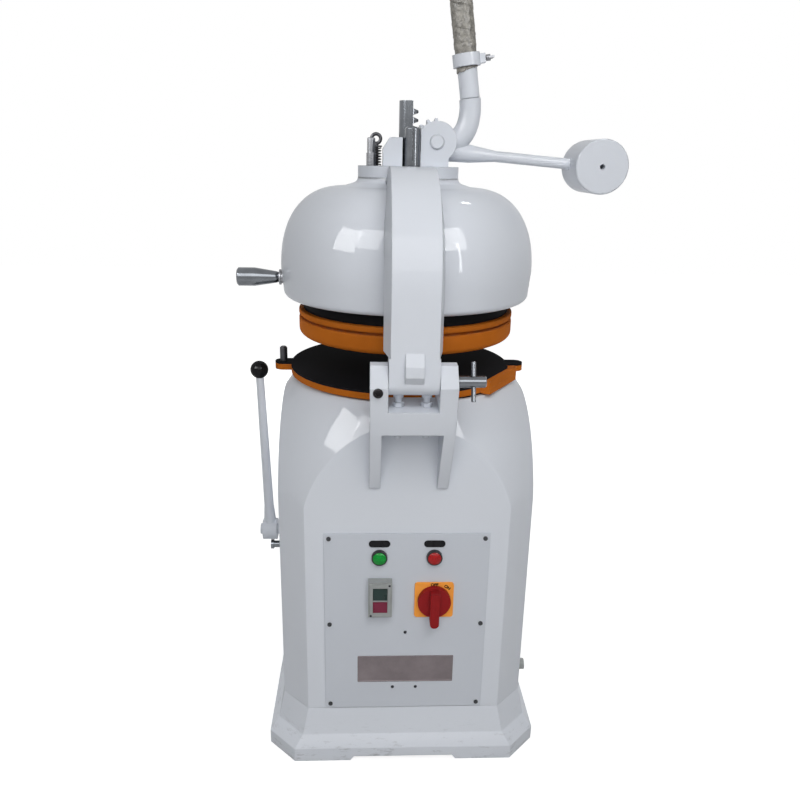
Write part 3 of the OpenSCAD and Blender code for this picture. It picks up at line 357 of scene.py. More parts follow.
def start_material(name):
    """A material with a bare Principled shader."""
    material = bpy.data.materials.new("finish_" + name)
    material.use_nodes = True
    return material, material.node_tree, material.node_tree.nodes["Principled BSDF"].inputs


def set_constants(shader, **values):
    """Plain numbers and colours that are the same all over a surface."""
    for label, value in values.items():
        shader[label.replace("_", " ")].default_value = value


def bumped(tree, height, normal, strength, depth):
    """Normal with a fine relief on top of a rounded one."""
    return put(tree, "ShaderNodeBump", {"Height": height, "Normal": normal, "Strength": strength,
                                        "Distance": depth}).outputs[0]


def patchy_rough(tree, tone, rough):
    """Roughness that changes a little with a slow tone."""
    return ranged(tree, tone, low=0.3, high=0.7, to_low=rough * 0.85, to_high=rough * 1.2)


# Finishes


def paint(name, colour, under, rough, shade, coat, coat_rough, ripple=0.08, wear=0.35, dust=0.25,
          scuff=0.0, scale=260.0, radius=0.0016):
    """Sprayed enamel or paint over a metal part, whose coat alone mirrors the lamps."""
    material, tree, shader = start_material(name)
    skin = effect(tree, "paint_skin", Scale=scale)
    worn = effect(tree, "edge_wear", Radius=radius, Amount=wear)
    dust_and_shade = effect(tree, "crevice_dust", Amount=dust)
    tone = share_of(tree, skin["Tone"], start=0.35, end=0.65)
    colour_now = mixed(tree, tone, rgba(colour, gain=shade), rgba(colour))
    # Dust and painted shade in the shut corners
    colour_now = mixed(tree, dust_and_shade["Mask"], colour_now, DUST_AND_SHADE)
    if scuff:
        marks = effect(tree, "floor_scuff", Amount=scuff)
        colour_now = mixed(tree, marks["Mask"], colour_now, SCUFF)
    colour_now = mixed(tree, worn["Mask"], colour_now, rgba(under))
    tree.links.new(colour_now, shader["Base Color"])
    tree.links.new(patchy_rough(tree, skin["Tone"], rough), shader["Roughness"])
    tree.links.new(bumped(tree, skin["Height"], worn["Normal"], strength=ripple, depth=0.001),
                   shader["Normal"])
    set_constants(shader, Coat_Weight=coat, Coat_Roughness=coat_rough, Specular_IOR_Level=0.0)
    return material


def metal(name, colour, rough, stretch=(60.0, 60.0, 1500.0), relief=0.05, dust=0.3, wear=0.4,
          stain=0.75):
    """Bare or plated metal with its working marks."""
    material, tree, shader = start_material(name)
    grain = effect(tree, "metal_grain", Stretch=stretch)
    worn = effect(tree, "edge_wear", Radius=0.0009, Amount=wear)
    dust_and_shade = effect(tree, "crevice_dust", Distance=0.012, Amount=dust)
    tone = share_of(tree, grain["Tone"], start=0.35, end=0.7)
    colour_now = mixed(tree, tone, rgba(colour), rgba(colour, gain=stain))
    # Grease and painted shade in the shut corners
    colour_now = mixed(tree, dust_and_shade["Mask"], colour_now, GREASE_AND_SHADE)
    colour_now = mixed(tree, worn["Mask"], colour_now, rgba(colour, gain=1.35))
    tree.links.new(colour_now, shader["Base Color"])
    least, swing = rough * 0.55, rough * 0.9
    lined = math_of(tree, "MULTIPLY", grain["Height"], swing)
    tree.links.new(math_of(tree, "ADD", lined, least), shader["Roughness"])
    tree.links.new(bumped(tree, grain["Height"], worn["Normal"], strength=relief, depth=0.0006),
                   shader["Normal"])
    set_constants(shader, Metallic=1.0)
    return material


def moulded(name, colour, rough, relief=0.08, dust=0.2, coat=0.0, shade=0.85, gloss=0.25,
            coat_rough=0.12):
    """Moulded plastic, rubber or bakelite."""
    material, tree, shader = start_material(name)
    grain = effect(tree, "speckle", Scale=1400.0)
    worn = effect(tree, "edge_wear", Radius=0.0009, Amount=0.25)
    dust_and_shade = effect(tree, "crevice_dust", Distance=0.008, Amount=dust)
    tone = share_of(tree, grain["Tone"], start=0.35, end=0.65)
    colour_now = mixed(tree, tone, rgba(colour, gain=shade), rgba(colour))
    # Dust and painted shade in the shut corners
    colour_now = mixed(tree, dust_and_shade["Mask"], colour_now, PLASTIC_DUST_AND_SHADE)
    colour_now = mixed(tree, worn["Mask"], colour_now, rgba(colour, gain=1.5))
    tree.links.new(colour_now, shader["Base Color"])
    tree.links.new(patchy_rough(tree, grain["Tone"], rough), shader["Roughness"])
    tree.links.new(bumped(tree, grain["Height"], worn["Normal"], strength=relief, depth=0.0004),
                   shader["Normal"])
    set_constants(shader, Coat_Weight=coat, Coat_Roughness=coat_rough, Specular_IOR_Level=gloss)
    return material


def lens_finish(name, colour):
    """Ribbed lens of a signal lamp that is off."""
    material, tree, shader = start_material(name)
    ribs = put(tree, "ShaderNodeTexVoronoi", {"Vector": place_of(tree), "Scale": 420.0}).outputs[0]
    worn = effect(tree, "edge_wear", Radius=0.002, Amount=0.15)
    tone = share_of(tree, ribs, start=0.1, end=0.7)
    colour_now = mixed(tree, tone, rgba(colour, gain=1.25), rgba(colour, gain=0.8))
    colour_now = mixed(tree, worn["Mask"], colour_now, rgba(colour, gain=1.6))
    tree.links.new(colour_now, shader["Base Color"])
    tree.links.new(bumped(tree, ribs, worn["Normal"], strength=0.12, depth=0.0008),
                   shader["Normal"])
    set_constants(shader, Roughness=0.22, Coat_Weight=0.15, Coat_Roughness=0.05,
                  Specular_IOR_Level=0.08)
    return material


def wrap_finish(colour):
    """Creased film, painted pale on its ridges as a highlight and dark in its creases and folds as
    shade.
    """
    material, tree, shader = start_material("wrap_film")
    place = place_of(tree)
    blotch = noise_of(tree, place, scale=95.0, detail=6.0, rough=0.7)
    crease = put(tree, "ShaderNodeTexVoronoi", {"Vector": place, "Scale": 130.0},
                 feature="DISTANCE_TO_EDGE").outputs[0]
    # Crease lines darkened: painted shade
    painted_crease_shade = ranged(tree, crease, low=0.0, high=0.09, to_low=0.35, to_high=0.0)
    worn = effect(tree, "edge_wear", Radius=0.001, Amount=0.5, Breakup=200.0)
    dust_and_shade = effect(tree, "crevice_dust", Distance=0.006, Amount=0.9, Breakup=90.0)
    tone = share_of(tree, blotch, start=0.36, end=0.66)
    colour_now = mixed(tree, tone, rgba(colour, gain=0.42), rgba(colour, gain=1.6))
    colour_now = mixed(tree, painted_crease_shade, colour_now, rgba(colour, gain=0.3))
    # Folds darkened by the corner mask: painted shade with some dirt
    colour_now = mixed(tree, dust_and_shade["Mask"], colour_now, FOLD_DIRT_AND_SHADE)
    # Edges of the creases lightened: a painted highlight
    colour_now = mixed(tree, worn["Mask"], colour_now, rgba(colour, gain=2.2))
    tree.links.new(colour_now, shader["Base Color"])
    rough = ranged(tree, blotch, low=0.3, high=0.7, to_low=0.38, to_high=0.7)
    tree.links.new(rough, shader["Roughness"])
    tree.links.new(bumped(tree, crease, worn["Normal"], strength=0.35, depth=0.0012),
                   shader["Normal"])
    return material


# Finishes on the carried-over solids

# Angle from which an edge is sharp, and distance within which split points are joined
SHADING_GROUP = "even_shading"
SHARP_ANGLE = math.radians(24.0)
JOIN_DISTANCE = 0.000004


def even_shading():
    """Modifier group that joins split faces and keeps only real edges sharp."""
    tree = bpy.data.node_groups.new(SHADING_GROUP, "GeometryNodeTree")
    tree.interface.new_socket("Geometry", in_out="INPUT", socket_type="NodeSocketGeometry")
    limit = tree.interface.new_socket("Angle", in_out="INPUT", socket_type="NodeSocketFloat")
    limit.subtype = "ANGLE"
    limit.default_value = SHARP_ANGLE
    tree.interface.new_socket("Geometry", in_out="OUTPUT", socket_type="NodeSocketGeometry")
    given = tree.nodes.new("NodeGroupInput").outputs
    joined = put(tree, "GeometryNodeMergeByDistance", {"Geometry": given["Geometry"],
                                                       "Distance": JOIN_DISTANCE}).outputs[0]
    bend = put(tree, "GeometryNodeInputMeshEdgeAngle").outputs[0]
    sharp = put(tree, "FunctionNodeCompare", {0: bend, 1: given["Angle"]}).outputs[0]
    shaded = put(tree, "GeometryNodeSetMeshNormal", {"Mesh": joined, "Edge Sharpness": sharp,
                                                     "Remove Custom": True}).outputs[0]
    tree.links.new(shaded, tree.nodes.new("NodeGroupOutput").inputs[0])
    return tree


def dress(finish, slot, *values, **options):
    """Makes the finish of a material slot and gives it to every CAD node of that slot."""
    material = finish(slot, *values, **options)
    shading = bpy.data.node_groups.get(SHADING_GROUP) or even_shading()
    found = 0
    for item in frame["nodes"].values():
        named = [s for s in item.material_slots if s.material and s.material.name == slot]
        for place in named:
            place.material = material
            found += 1
        if named:
            item.modifiers.new(SHADING_GROUP, "NODES").node_group = shading
    if not found:
        raise RuntimeError("no node carries the slot " + slot)


class ROUNDER_OT_paintwork(bpy.types.Operator):
    """Enamel and paint of the castings, table, ring and plate"""

    bl_idname = "rounder.paintwork"
    bl_label = "Paintwork"

    def execute(self, context):
        tones = context.scene.rounder_colours
        bare_iron, bare_primer = (0.30, 0.30, 0.31), (0.42, 0.27, 0.16)
        rubbed_paint, rubbed_coating = (0.10, 0.10, 0.11), (0.09, 0.09, 0.10)
        dress(paint, "white_enamel", tones.enamel, bare_iron, 0.24, shade=0.985, coat=0.3,
              coat_rough=0.04, wear=0.12, dust=0.16, scuff=0.45, radius=0.003)
        # Panel enamel: its own paint and painted shade together
        dress(paint, "panel_enamel", tones.panel, bare_iron, 0.34, shade=0.98, coat=0.2,
              coat_rough=0.14, ripple=0.05, wear=0.1, dust=0.22, radius=0.0012)
        dress(paint, "orange_paint", tones.orange, bare_primer, 0.42, shade=0.72, coat=0.05,
              coat_rough=0.3, ripple=0.14, wear=0.6, dust=0.45, scale=420.0)
        # Black drum: painted shade of the gap under the dome
        dress(paint, "black_paint", tones.black, rubbed_paint, 0.45, shade=0.7, coat=0.06,
              coat_rough=0.3, wear=0.5, dust=0.3)
        dress(paint, "dough_black", tones.plate, rubbed_coating, 0.55, shade=0.65, coat=0.03,
              coat_rough=0.35, ripple=0.3, wear=0.5, dust=0.35, scale=900.0)
        return {"FINISHED"}


class ROUNDER_OT_metalwork(bpy.types.Operator):
    """Chrome, steel, iron and alloy pieces"""

    bl_idname = "rounder.metalwork"
    bl_label = "Metalwork"

    def execute(self, context):
        # Chrome's colour is kept dark and its corner mask strong to paint in the dark surroundings
        # it mirrors: painted shade in its reflections
        dress(metal, "chrome", (0.16, 0.17, 0.185), 0.14, relief=0.02, dust=0.6)
        dress(metal, "machined_steel", (0.24, 0.245, 0.26), 0.30, relief=0.06)
        dress(metal, "dark_steel", (0.055, 0.055, 0.06), 0.42, relief=0.08, wear=0.7)
        dress(metal, "cast_iron", (0.12, 0.125, 0.135), 0.55, stretch=(700.0, 700.0, 700.0),
              relief=0.3)
        dress(metal, "segment_alloy", (0.55, 0.55, 0.57), 0.38, stretch=(1500.0, 60.0, 60.0),
              relief=0.06)
        return {"FINISHED"}


class ROUNDER_OT_mouldings(bpy.types.Operator):
    """Plastic, rubber and bakelite pieces and the lamp lenses"""

    bl_idname = "rounder.mouldings"
    bl_label = "Mouldings"

    def execute(self, context):
        tones = context.scene.rounder_colours
        dress(moulded, "belt_rubber", (0.018, 0.018, 0.018), 0.75, relief=0.3)
        dress(moulded, "device_black", (0.02, 0.02, 0.022), 0.35)
        dress(moulded, "device_grey", (0.36, 0.375, 0.37), 0.45, relief=0.14)
        dress(moulded, "ball_black", (0.010, 0.010, 0.011), 0.16, relief=0.02, coat=0.18,
              gloss=0.0, coat_rough=0.06)
        dress(moulded, "start_green", (0.008, 0.028, 0.024), 0.30)
        dress(moulded, "stop_red", (0.19, 0.010, 0.040), 0.30)
        dress(moulded, "switch_yellow", tones.yellow, 0.42, relief=0.1, dust=0.12, shade=0.96,
              gloss=0.08)
        dress(moulded, "switch_red", tones.red, 0.36, gloss=0.08, coat=0.06)
        dress(lens_finish, "green_lens", (0.003, 0.30, 0.036))
        dress(lens_finish, "red_lens", (0.42, 0.010, 0.011))
        return {"FINISHED"}


# Added pieces

# Section of a rimmed plate: way in from its edge over the rim's width, height over the thickness
PLATE_SECTION = ((0.0, 0.0), (0.0, 0.7), (0.12, 0.93), (0.3, 1.0), (0.85, 1.0), (1.0, 0.9),
                 (1.1, 0.62))
LEAST_CORNER = 0.25

# Bare plate: place across, corner and rim. Tags: straight part of their ends, and rim
PLATE_SHIFT, PLATE_CORNER, PLATE_RIM = 0.002, 0.0016, 0.0022
TAG_FLAT, TAG_RIM = 0.0001, 0.0011

# Small screws on the panel: name, place across and depth below the panel's middle
PANEL_SCREWS = (("panel_screw_top", 0.0, 0.020), ("panel_screw_left", -0.024, 0.153),
                ("panel_screw_right", 0.024, 0.153))

# Screws of the button box: way in from its corners, and size over the panel screws'
BOX_SCREW_INSET, BOX_SCREW_SHARE = 0.0052, 0.72

# Set screw: radius and height over the screw's radius, from its thread to the edge of its socket,
# then half the socket's width, its chamfer's foot, its floor and the ring that closes the floor
SET_SCREW_SECTION = ((1.0, -0.25), (1.0, 0.30), (0.96, 0.38), (0.88, 0.44), (0.70, 0.44))
SOCKET_HALF, SOCKET_TOP, SOCKET_FLOOR, SOCKET_CENTRE = 0.52, 0.41, 0.06, 0.1

# Start of the ray that finds the ear's face, in front of the bracket
EAR_RAY_START = 0.2

# Switch marks: name, word, place across and up over half the plate, turn in degrees
SWITCH_MARKS = (("switch_mark_off", "OFF", 0.0, 0.89, 0.0),
                ("switch_mark_on", "ON", 0.66, 0.74, 35.0))
MARK_DEPTH = 0.00016

# Handle film: places measured from the grip's skin, its top end or the clamp's middle
FILM_AROUND, FILM_ROWS, CROWN_ROWS, CROWN_START = 120, 300, 8, 0.35
FILM_SINK, FILM_INSIDE = 0.0014, 0.0028
CLAMP_HALF, CLAMP_EASE, CLAMP_BITE = 0.0135, 0.012, 0.0002
CROWN_HEIGHT, CROWN_GAP, CROWN_MEAN, CROWN_SWING = 0.009, 0.0006, 0.86, 0.14
EDGE_SLANT, EDGE_RISE, TORN_DEPTH, RAGGED_DEPTH = 0.0085, 0.0035, 0.0022, 0.0012
LIP_DROP, LIP_STEP, LINING_RISE, LINING_END = 0.0003, 0.0005, 0.0004, 0.0045

# Creases: noise round and along the handle, then scale and share of the folds and the wrinkles
CREASE_ROUND, CREASE_ALONG = 1.6, 70.0
FOLD_SCALE, FOLD_STEEPNESS, FOLD_SHARE = 1.3, 2.4, 0.42
WRINKLE_SCALE, WRINKLE_SHIFT, WRINKLE_SHARE = 4.1, Vector((7.0, 3.0, 1.0)), 0.22


def turns_of(count):
    """Angles of so many even steps round a circle."""
    return [math.tau * k / count for k in range(count)]


def ring_mesh(name, rings):
    """Closed skin over a row of point rings of equal count."""
    form = bmesh.new()
    rows = [[form.verts.new(point) for point in ring] for ring in rings]
    count = len(rows[0])
    for low, high in zip(rows, rows[1:]):
        for k in range(count):
            n = (k + 1) % count
            form.faces.new((low[k], low[n], high[n], high[k]))
    form.faces.new(list(reversed(rows[0])))
    form.faces.new(rows[-1])
    bmesh.ops.recalc_face_normals(form, faces=form.faces)
    mesh = bpy.data.meshes.new(name)
    form.to_mesh(mesh)
    form.free()
    return mesh


def round_rectangle(width, height, radius, steps=8):
    """Outline of a rectangle with round corners, in its own plane."""
    points = []
    for quarter, (sx, sz) in enumerate(((1, 1), (-1, 1), (-1, -1), (1, -1))):
        for k in range(steps + 1):
            turn = math.radians(90.0 * (quarter + k / steps))
            points.append((sx * (width / 2 - radius) + radius * math.cos(turn),
                           sz * (height / 2 - radius) + radius * math.sin(turn)))
    return points


def rimmed_plate(name, centre, width, height, radius, thickness, rim):
    """A flat plate on a -Y face with a rounded edge and a raised rim round its field."""
    rings = []
    for inward, rise in PLATE_SECTION:
        cut = rim * inward
        corner = max(radius - cut, radius * LEAST_CORNER)
        outline = round_rectangle(width - 2 * cut, height - 2 * cut, corner)
        rings.append([(centre.x + x, centre.y - thickness * rise, centre.z + z)
                      for x, z in outline])
    return ring_mesh(name, rings)


def screw_head(name, centre, radius):
    """A pan-head screw with a cross recess, its head towards -Y."""
    turns, steps = turns_of(64), 16
    crown, rim = radius * 0.62, radius * 0.12
    slot_half, slot_reach, slot_depth = radius * 0.15, radius * 0.62, radius * 0.42
    rings = [[(centre.x + radius * math.cos(a), centre.y, centre.z + radius * math.sin(a))
              for a in turns]]
    for i in range(steps):
        spread = radius * (1.0 - i / steps)
        domed = crown * math.sqrt(max(0.0, 1.0 - (spread / radius) ** 2)) + rim
        ring = []
        for turn in turns:
            x, z = spread * math.cos(turn), spread * math.sin(turn)
            rise = domed
            if min(abs(x), abs(z)) < slot_half and spread < slot_reach:
                rise -= slot_depth * (1.0 - spread / slot_reach / 2)
            ring.append((centre.x + x, centre.y - rise, centre.z + z))
        rings.append(ring)
    return ring_mesh(name, rings)


def set_screw(name, seat, facing, radius):
    """A socket set screw that stands a little proud of the face it is turned into."""
    across = facing.orthogonal().normalized()
    over = facing.cross(across)
    turns, side = turns_of(48), math.radians(60.0)
    flat = radius * SOCKET_HALF
    socket = [flat / math.cos((a + side / 2) % side - side / 2) for a in turns]

    def ring(reaches, rise):
        return [seat + facing * (radius * rise)
                + (across * math.cos(a) + over * math.sin(a)) * reach
                for a, reach in zip(turns, reaches)]

    def round_ring(share, rise):
        return ring([radius * share] * len(turns), rise)

    rings = [round_ring(share, rise) for share, rise in SET_SCREW_SECTION]
    rings += [ring(socket, SOCKET_TOP), ring(socket, SOCKET_FLOOR),
              round_ring(SOCKET_CENTRE, SOCKET_FLOOR)]
    return ring_mesh(name, rings)


def on_panel(x, z):
    """A point on the front of the control panel."""
    return Vector((x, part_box("control_panel")[0].y, z))


class ROUNDER_OT_name_plate(bpy.types.Operator):
    """Bare brushed plate on the control panel"""

    bl_idname = "rounder.name_plate"
    bl_label = "Bare plate"

    def execute(self, context):
        sizes = context.scene.rounder_sizes
        middle = box_centre("control_panel")
        mesh = rimmed_plate("name_plate", on_panel(PLATE_SHIFT, middle.z - sizes.plate_drop),
                            sizes.plate_width, sizes.plate_height, PLATE_CORNER,
                            sizes.plate_thickness, PLATE_RIM)
        plate = finished(mesh_object("name_plate", mesh),
                         metal("brushed_plate", (0.165, 0.142, 0.148), 0.42,
                               stretch=(35.0, 35.0, 2600.0), relief=0.12, stain=0.8))
        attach(plate, "pedestal")
        return {"FINISHED"}


class ROUNDER_OT_lamp_tags(bpy.types.Operator):
    """Bare oval tags above the two signal lamps"""

    bl_idname = "rounder.lamp_tags"
    bl_label = "Lamp tags"

    def execute(self, context):
        sizes = context.scene.rounder_sizes
        finish = moulded("tag_black", (0.009, 0.009, 0.011), 0.3, gloss=0.08, coat=0.04)
        for lens, name in (("green_lens", "lamp_tag_left"), ("red_lens", "lamp_tag_right")):
            lamp = box_centre(lens)
            mesh = rimmed_plate(name, on_panel(lamp.x, lamp.z + sizes.label_rise),
                                sizes.label_width, sizes.label_height,
                                sizes.label_height / 2 - TAG_FLAT, sizes.label_thickness, TAG_RIM)
            tag = finished(mesh_object(name, mesh), finish)
            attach(tag, "pedestal")
        return {"FINISHED"}


class ROUNDER_OT_small_screws(bpy.types.Operator):
    """Small screws on the panel and the button box"""

    bl_idname = "rounder.small_screws"
    bl_label = "Small screws"

    def execute(self, context):
        radius = context.scene.rounder_sizes.screw_radius
        middle = box_centre("control_panel")
        finish = metal("screw_black", (0.032, 0.032, 0.037), 0.35, stretch=(300.0, 300.0, 300.0))
        spots = [(name, on_panel(x, middle.z - drop), radius) for name, x, drop in PANEL_SCREWS]
        low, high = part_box("button_box")
        inset = Vector((BOX_SCREW_INSET, 0.0, BOX_SCREW_INSET))
        for name, corner in (("box_screw_high", high - inset), ("box_screw_low", low + inset)):
            spots.append((name, Vector((corner.x, low.y, corner.z)), radius * BOX_SCREW_SHARE))
        for name, spot, size in spots:
            screw = finished(mesh_object(name, screw_head(name, spot, size)), finish)
            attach(screw, "pedestal")
        return {"FINISHED"}


class ROUNDER_OT_ear_screw(bpy.types.Operator):
    """Set screw that holds the hinge pin in the left ear"""

    bl_idname = "rounder.ear_screw"
    bl_label = "Ear screw"

    def execute(self, context):
        sizes = context.scene.rounder_sizes
        low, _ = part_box("hinge_bracket")
        pin = Vector(joint_row("head_tilt")["pos_m"])
        start = Vector((low.x + sizes.ear_screw_inset, low.y - EAR_RAY_START,
                        pin.z - sizes.ear_screw_drop))
        hit, seat, facing, _ = frame["nodes"]["hinge_bracket"].ray_cast(start, (0.0, 1.0, 0.0))
        if not hit:
            raise RuntimeError("no ear in front of the set screw")
        mesh = set_screw("ear_screw", seat, facing, sizes.ear_screw_radius)
        screw = finished(mesh_object("ear_screw", mesh),
                         metal("screw_oxide", (0.022, 0.021, 0.022), 0.5,
                               stretch=(400.0, 400.0, 400.0), relief=0.2))
        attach(screw, "pedestal")
        return {"FINISHED"}


def word_mesh(name, word, size, weight):
    """Mesh of a short word that lies flat round its middle."""
    text = bpy.data.curves.new(name, "FONT")
    text.body = word
    text.size = size
    text.extrude = MARK_DEPTH
    text.offset = weight
    text.align_x = "CENTER"
    text.align_y = "CENTER"
    writing = bpy.data.objects.new(name + "_text", text)
    bpy.context.scene.collection.objects.link(writing)
    bpy.context.view_layer.update()
    mesh = bpy.data.meshes.new_from_object(
        writing.evaluated_get(bpy.context.evaluated_depsgraph_get()))
    bpy.data.objects.remove(writing)
    return mesh


class ROUNDER_OT_switch_marks(bpy.types.Operator):
    """Generic on and off marks beside the main switch knob"""

    bl_idname = "rounder.switch_marks"
    bl_label = "Switch marks"

    def execute(self, context):
        sizes = context.scene.rounder_sizes
        low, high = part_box("isolator_plate")
        middle = (low + high) / 2
        upright = Matrix.Rotation(math.radians(90.0), 4, "X")
        finish = moulded("mark_black", (0.010, 0.010, 0.010), 0.5, gloss=0.05)
        for name, word, across, rise, turn in SWITCH_MARKS:
            mesh = word_mesh(name, word, sizes.mark_height, sizes.mark_weight)
            place = Vector((middle.x + (high.x - middle.x) * across, low.y,
                            middle.z + (high.z - middle.z) * rise))
            tilt = Matrix.Rotation(math.radians(turn), 4, "Y")
            mesh.transform(Matrix.Translation(place) @ tilt @ upright)
            piece = finished(mesh_object(name, mesh), finish)
            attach(piece, "pedestal")
        return {"FINISHED"}


def handle_axis():
    """A point on the handle's axis, the way up along it and the way across it."""
    screw = joint_row("thumb_screw_turn")
    across = Vector(screw["axis"]).normalized()
    return Vector(screw["pos_m"]), Vector((-across.z, 0.0, across.x)), across


def round_noise(turn, scale, layer):
    """Noise along a circle, the same again after a full turn."""
    return noise.noise(Vector((math.cos(turn) * scale, math.sin(turn) * scale, layer)))


def wrap_mesh(sizes):
    """Film wound round the handle: lapped turns, creases and a torn lower edge."""
    middle, up, across = handle_axis()
    deep = Vector((0.0, 1.0, 0.0))
    arms = [Vector(v.co) - middle for v in frame["nodes"]["handle_grip"].data.vertices]
    reach = [arm.dot(up) for arm in arms]
    low, high = min(reach), max(reach)
    outer = max((arm - up * t).length for arm, t in zip(arms, reach))
    turns, inner = turns_of(FILM_AROUND), outer - FILM_INSIDE
    shoulder, crown_top = high - CROWN_HEIGHT, high - CROWN_GAP

    def radius_at(turn, t):
        lapped = (t / sizes.wrap_pitch + turn / math.tau) % 1.0
        spot = Vector((math.cos(turn) * CREASE_ROUND, math.sin(turn) * CREASE_ROUND,
                       t * CREASE_ALONG))
        fold = 1.0 - abs(noise.noise(spot * FOLD_SCALE)) * FOLD_STEEPNESS
        wrinkle = noise.noise(spot * WRINKLE_SCALE + WRINKLE_SHIFT)
        creased = FOLD_SHARE * fold + WRINKLE_SHARE * wrinkle
        rise = sizes.wrap_lap * (1.0 - lapped) + sizes.wrap_crinkle * creased
        held = min(1.0, max(0.0, (abs(t) - CLAMP_HALF) / CLAMP_EASE))
        return outer - FILM_SINK + rise * held - CLAMP_BITE * (1.0 - held)

    def edge_at(turn):
        left = 0.5 - 0.5 * math.cos(turn)
        torn = TORN_DEPTH * round_noise(turn, scale=3.0, layer=5.0)
        ragged = RAGGED_DEPTH * round_noise(turn, scale=11.0, layer=2.0)
        return low + EDGE_SLANT * (1.0 - left) + EDGE_RISE + torn + ragged

    def at(turn, t, radius):
        return middle + up * t + (across * math.cos(turn) + deep * math.sin(turn)) * radius

    def crown_point(turn, bend):
        uneven = CROWN_MEAN + CROWN_SWING * round_noise(turn, scale=2.0, layer=9.0)
        return at(turn, shoulder + (crown_top - shoulder) * math.cos(bend) * uneven,
                  radius_at(turn, shoulder) * math.sin(bend))

    def side_point(turn, share):
        t = shoulder + (edge_at(turn) - shoulder) * share
        return at(turn, t, radius_at(turn, t))

    rings = []
    for i in range(CROWN_ROWS):
        bend = math.radians(90.0) * (i + CROWN_START) / CROWN_ROWS
        rings.append([crown_point(a, bend) for a in turns])
    for i in range(FILM_ROWS + 1):
        rings.append([side_point(a, i / FILM_ROWS) for a in turns])
    rings.append([at(a, edge_at(a) - LIP_DROP, inner + LIP_STEP) for a in turns])
    rings.append([at(a, edge_at(a) + LINING_RISE, inner) for a in turns])
    rings.append([at(a, high - LINING_END, inner) for a in turns])
    return ring_mesh("grip_wrap", rings)


class ROUNDER_OT_grip_wrap(bpy.types.Operator):
    """Creased film wound round the press handle"""

    bl_idname = "rounder.grip_wrap"
    bl_label = "Handle wrap"

    def execute(self, context):
        scene = context.scene
        wrap = finished(mesh_object("grip_wrap", wrap_mesh(scene.rounder_sizes)),
                        wrap_finish(scene.rounder_colours.wrap), smooth_angle=60.0)
        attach(wrap, "lever")
        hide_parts("handle_grip")
        return {"FINISHED"}


# Stage

# Points that the lamps are turned to
HEAD, BODY, STAND, FOOT = ((0.0, 0.0, z) for z in (1.1, 0.85, 0.4, 0.15))

# Lamps: name, place, aim, width, height and the stage value that is its power
PLAIN_LAMPS = (("front_light", (0.05, -2.1, 2.2), BODY, 2.0, 1.4, "front"),)
MATT_LAMPS = (("left_light", (-1.9, -1.0, 1.7), BODY, 0.8, 0.8, "left"),
              ("right_light", (0.45, -1.3, 2.35), HEAD, 1.5, 0.8, "right"),
              ("low_light", (0.0, -1.5, 0.25), FOOT, 1.6, 0.5, "low"),
              ("ceiling_light", (0.2, 0.3, 3.6), BODY, 2.6, 2.2, "top"),
              ("back_light", (0.0, 2.8, 0.9), BODY, 2.2, 1.4, "back"),
              ("rear_left_light", (-1.5, 0.9, 0.55), STAND, 0.9, 0.9, "rear"),
              ("rear_right_light", (1.5, 0.9, 0.55), STAND, 0.9, 0.9, "rear"))
GLOSS_LAMPS = (("window_gloss", (-1.96, -1.18, 2.15), HEAD, 0.9, 1.1, "window"),
               ("pane_gloss", (-1.3, -1.7, 2.3), HEAD, 0.85, 1.0, "pane"),
               ("door_gloss", (1.3, -1.6, 2.3), HEAD, 1.0, 1.1, "door"),
               ("strip_gloss", (1.72, -1.84, 1.6), HEAD, 0.1, 1.2, "strip"),
               ("spot_gloss", (1.09, 0.92, 3.03), HEAD, 0.2, 0.2, "spot"))

# World and floor: linear colours, distances over which the floor gains its glow, and that glow
WHITE = (1.0, 1.0, 1.0, 1.0)
FILL_TINT = (0.94, 0.97, 1.0, 1.0)
FLOOR_GREY = (0.42, 0.42, 0.42, 1.0)
FLOOR_NEAR, FLOOR_FAR = 0.5, 2.2
GLOW_NEAR, GLOW_FAR = 0.80, 0.98

# Camera: sensor in millimetres, farthest point that it shows in metres
SENSOR_WIDTH = 36.0
VIEW_DEPTH = 60.0


def area_lights(stage, rows, mirrored=True, lighting=True):
    """Soft boxes for matt surfaces, for glossy ones or for both."""
    for name, place, aim, width, height, power in rows:
        lamp = bpy.data.lights.new(name, "AREA")
        lamp.shape = "RECTANGLE"
        lamp.size, lamp.size_y = width, height
        lamp.energy = getattr(stage, power)
        holder = bpy.data.objects.new(name, lamp)
        holder.location = place
        holder.rotation_euler = (Vector(aim) - Vector(place)).to_track_quat("-Z", "Y").to_euler()
        holder.visible_glossy = mirrored
        holder.visible_diffuse = lighting
        bpy.context.scene.collection.objects.link(holder)


def background_rays(tree):
    """One for rays that show the background, zero for rays that light the object."""
    path = put(tree, "ShaderNodeLightPath").outputs
    seen = math_of(tree, "MAXIMUM", path["Is Camera Ray"], path["Is Glossy Ray"])
    return math_of(tree, "MAXIMUM", seen, path["Is Transmission Ray"])


def make_world(strength):
    """White behind the object, softer light on it."""
    world = bpy.data.worlds.new("studio")
    world.use_nodes = True
    tree = world.node_tree
    tree.nodes.clear()
    soft = put(tree, "ShaderNodeBackground", {0: FILL_TINT, 1: strength})
    white = put(tree, "ShaderNodeBackground", {0: WHITE, 1: 1.0})
    both = put(tree, "ShaderNodeMixShader", {0: background_rays(tree), 1: soft.outputs[0],
                                             2: white.outputs[0]})
    put(tree, "ShaderNodeOutputWorld", {0: both.outputs[0]})
    bpy.context.scene.world = world


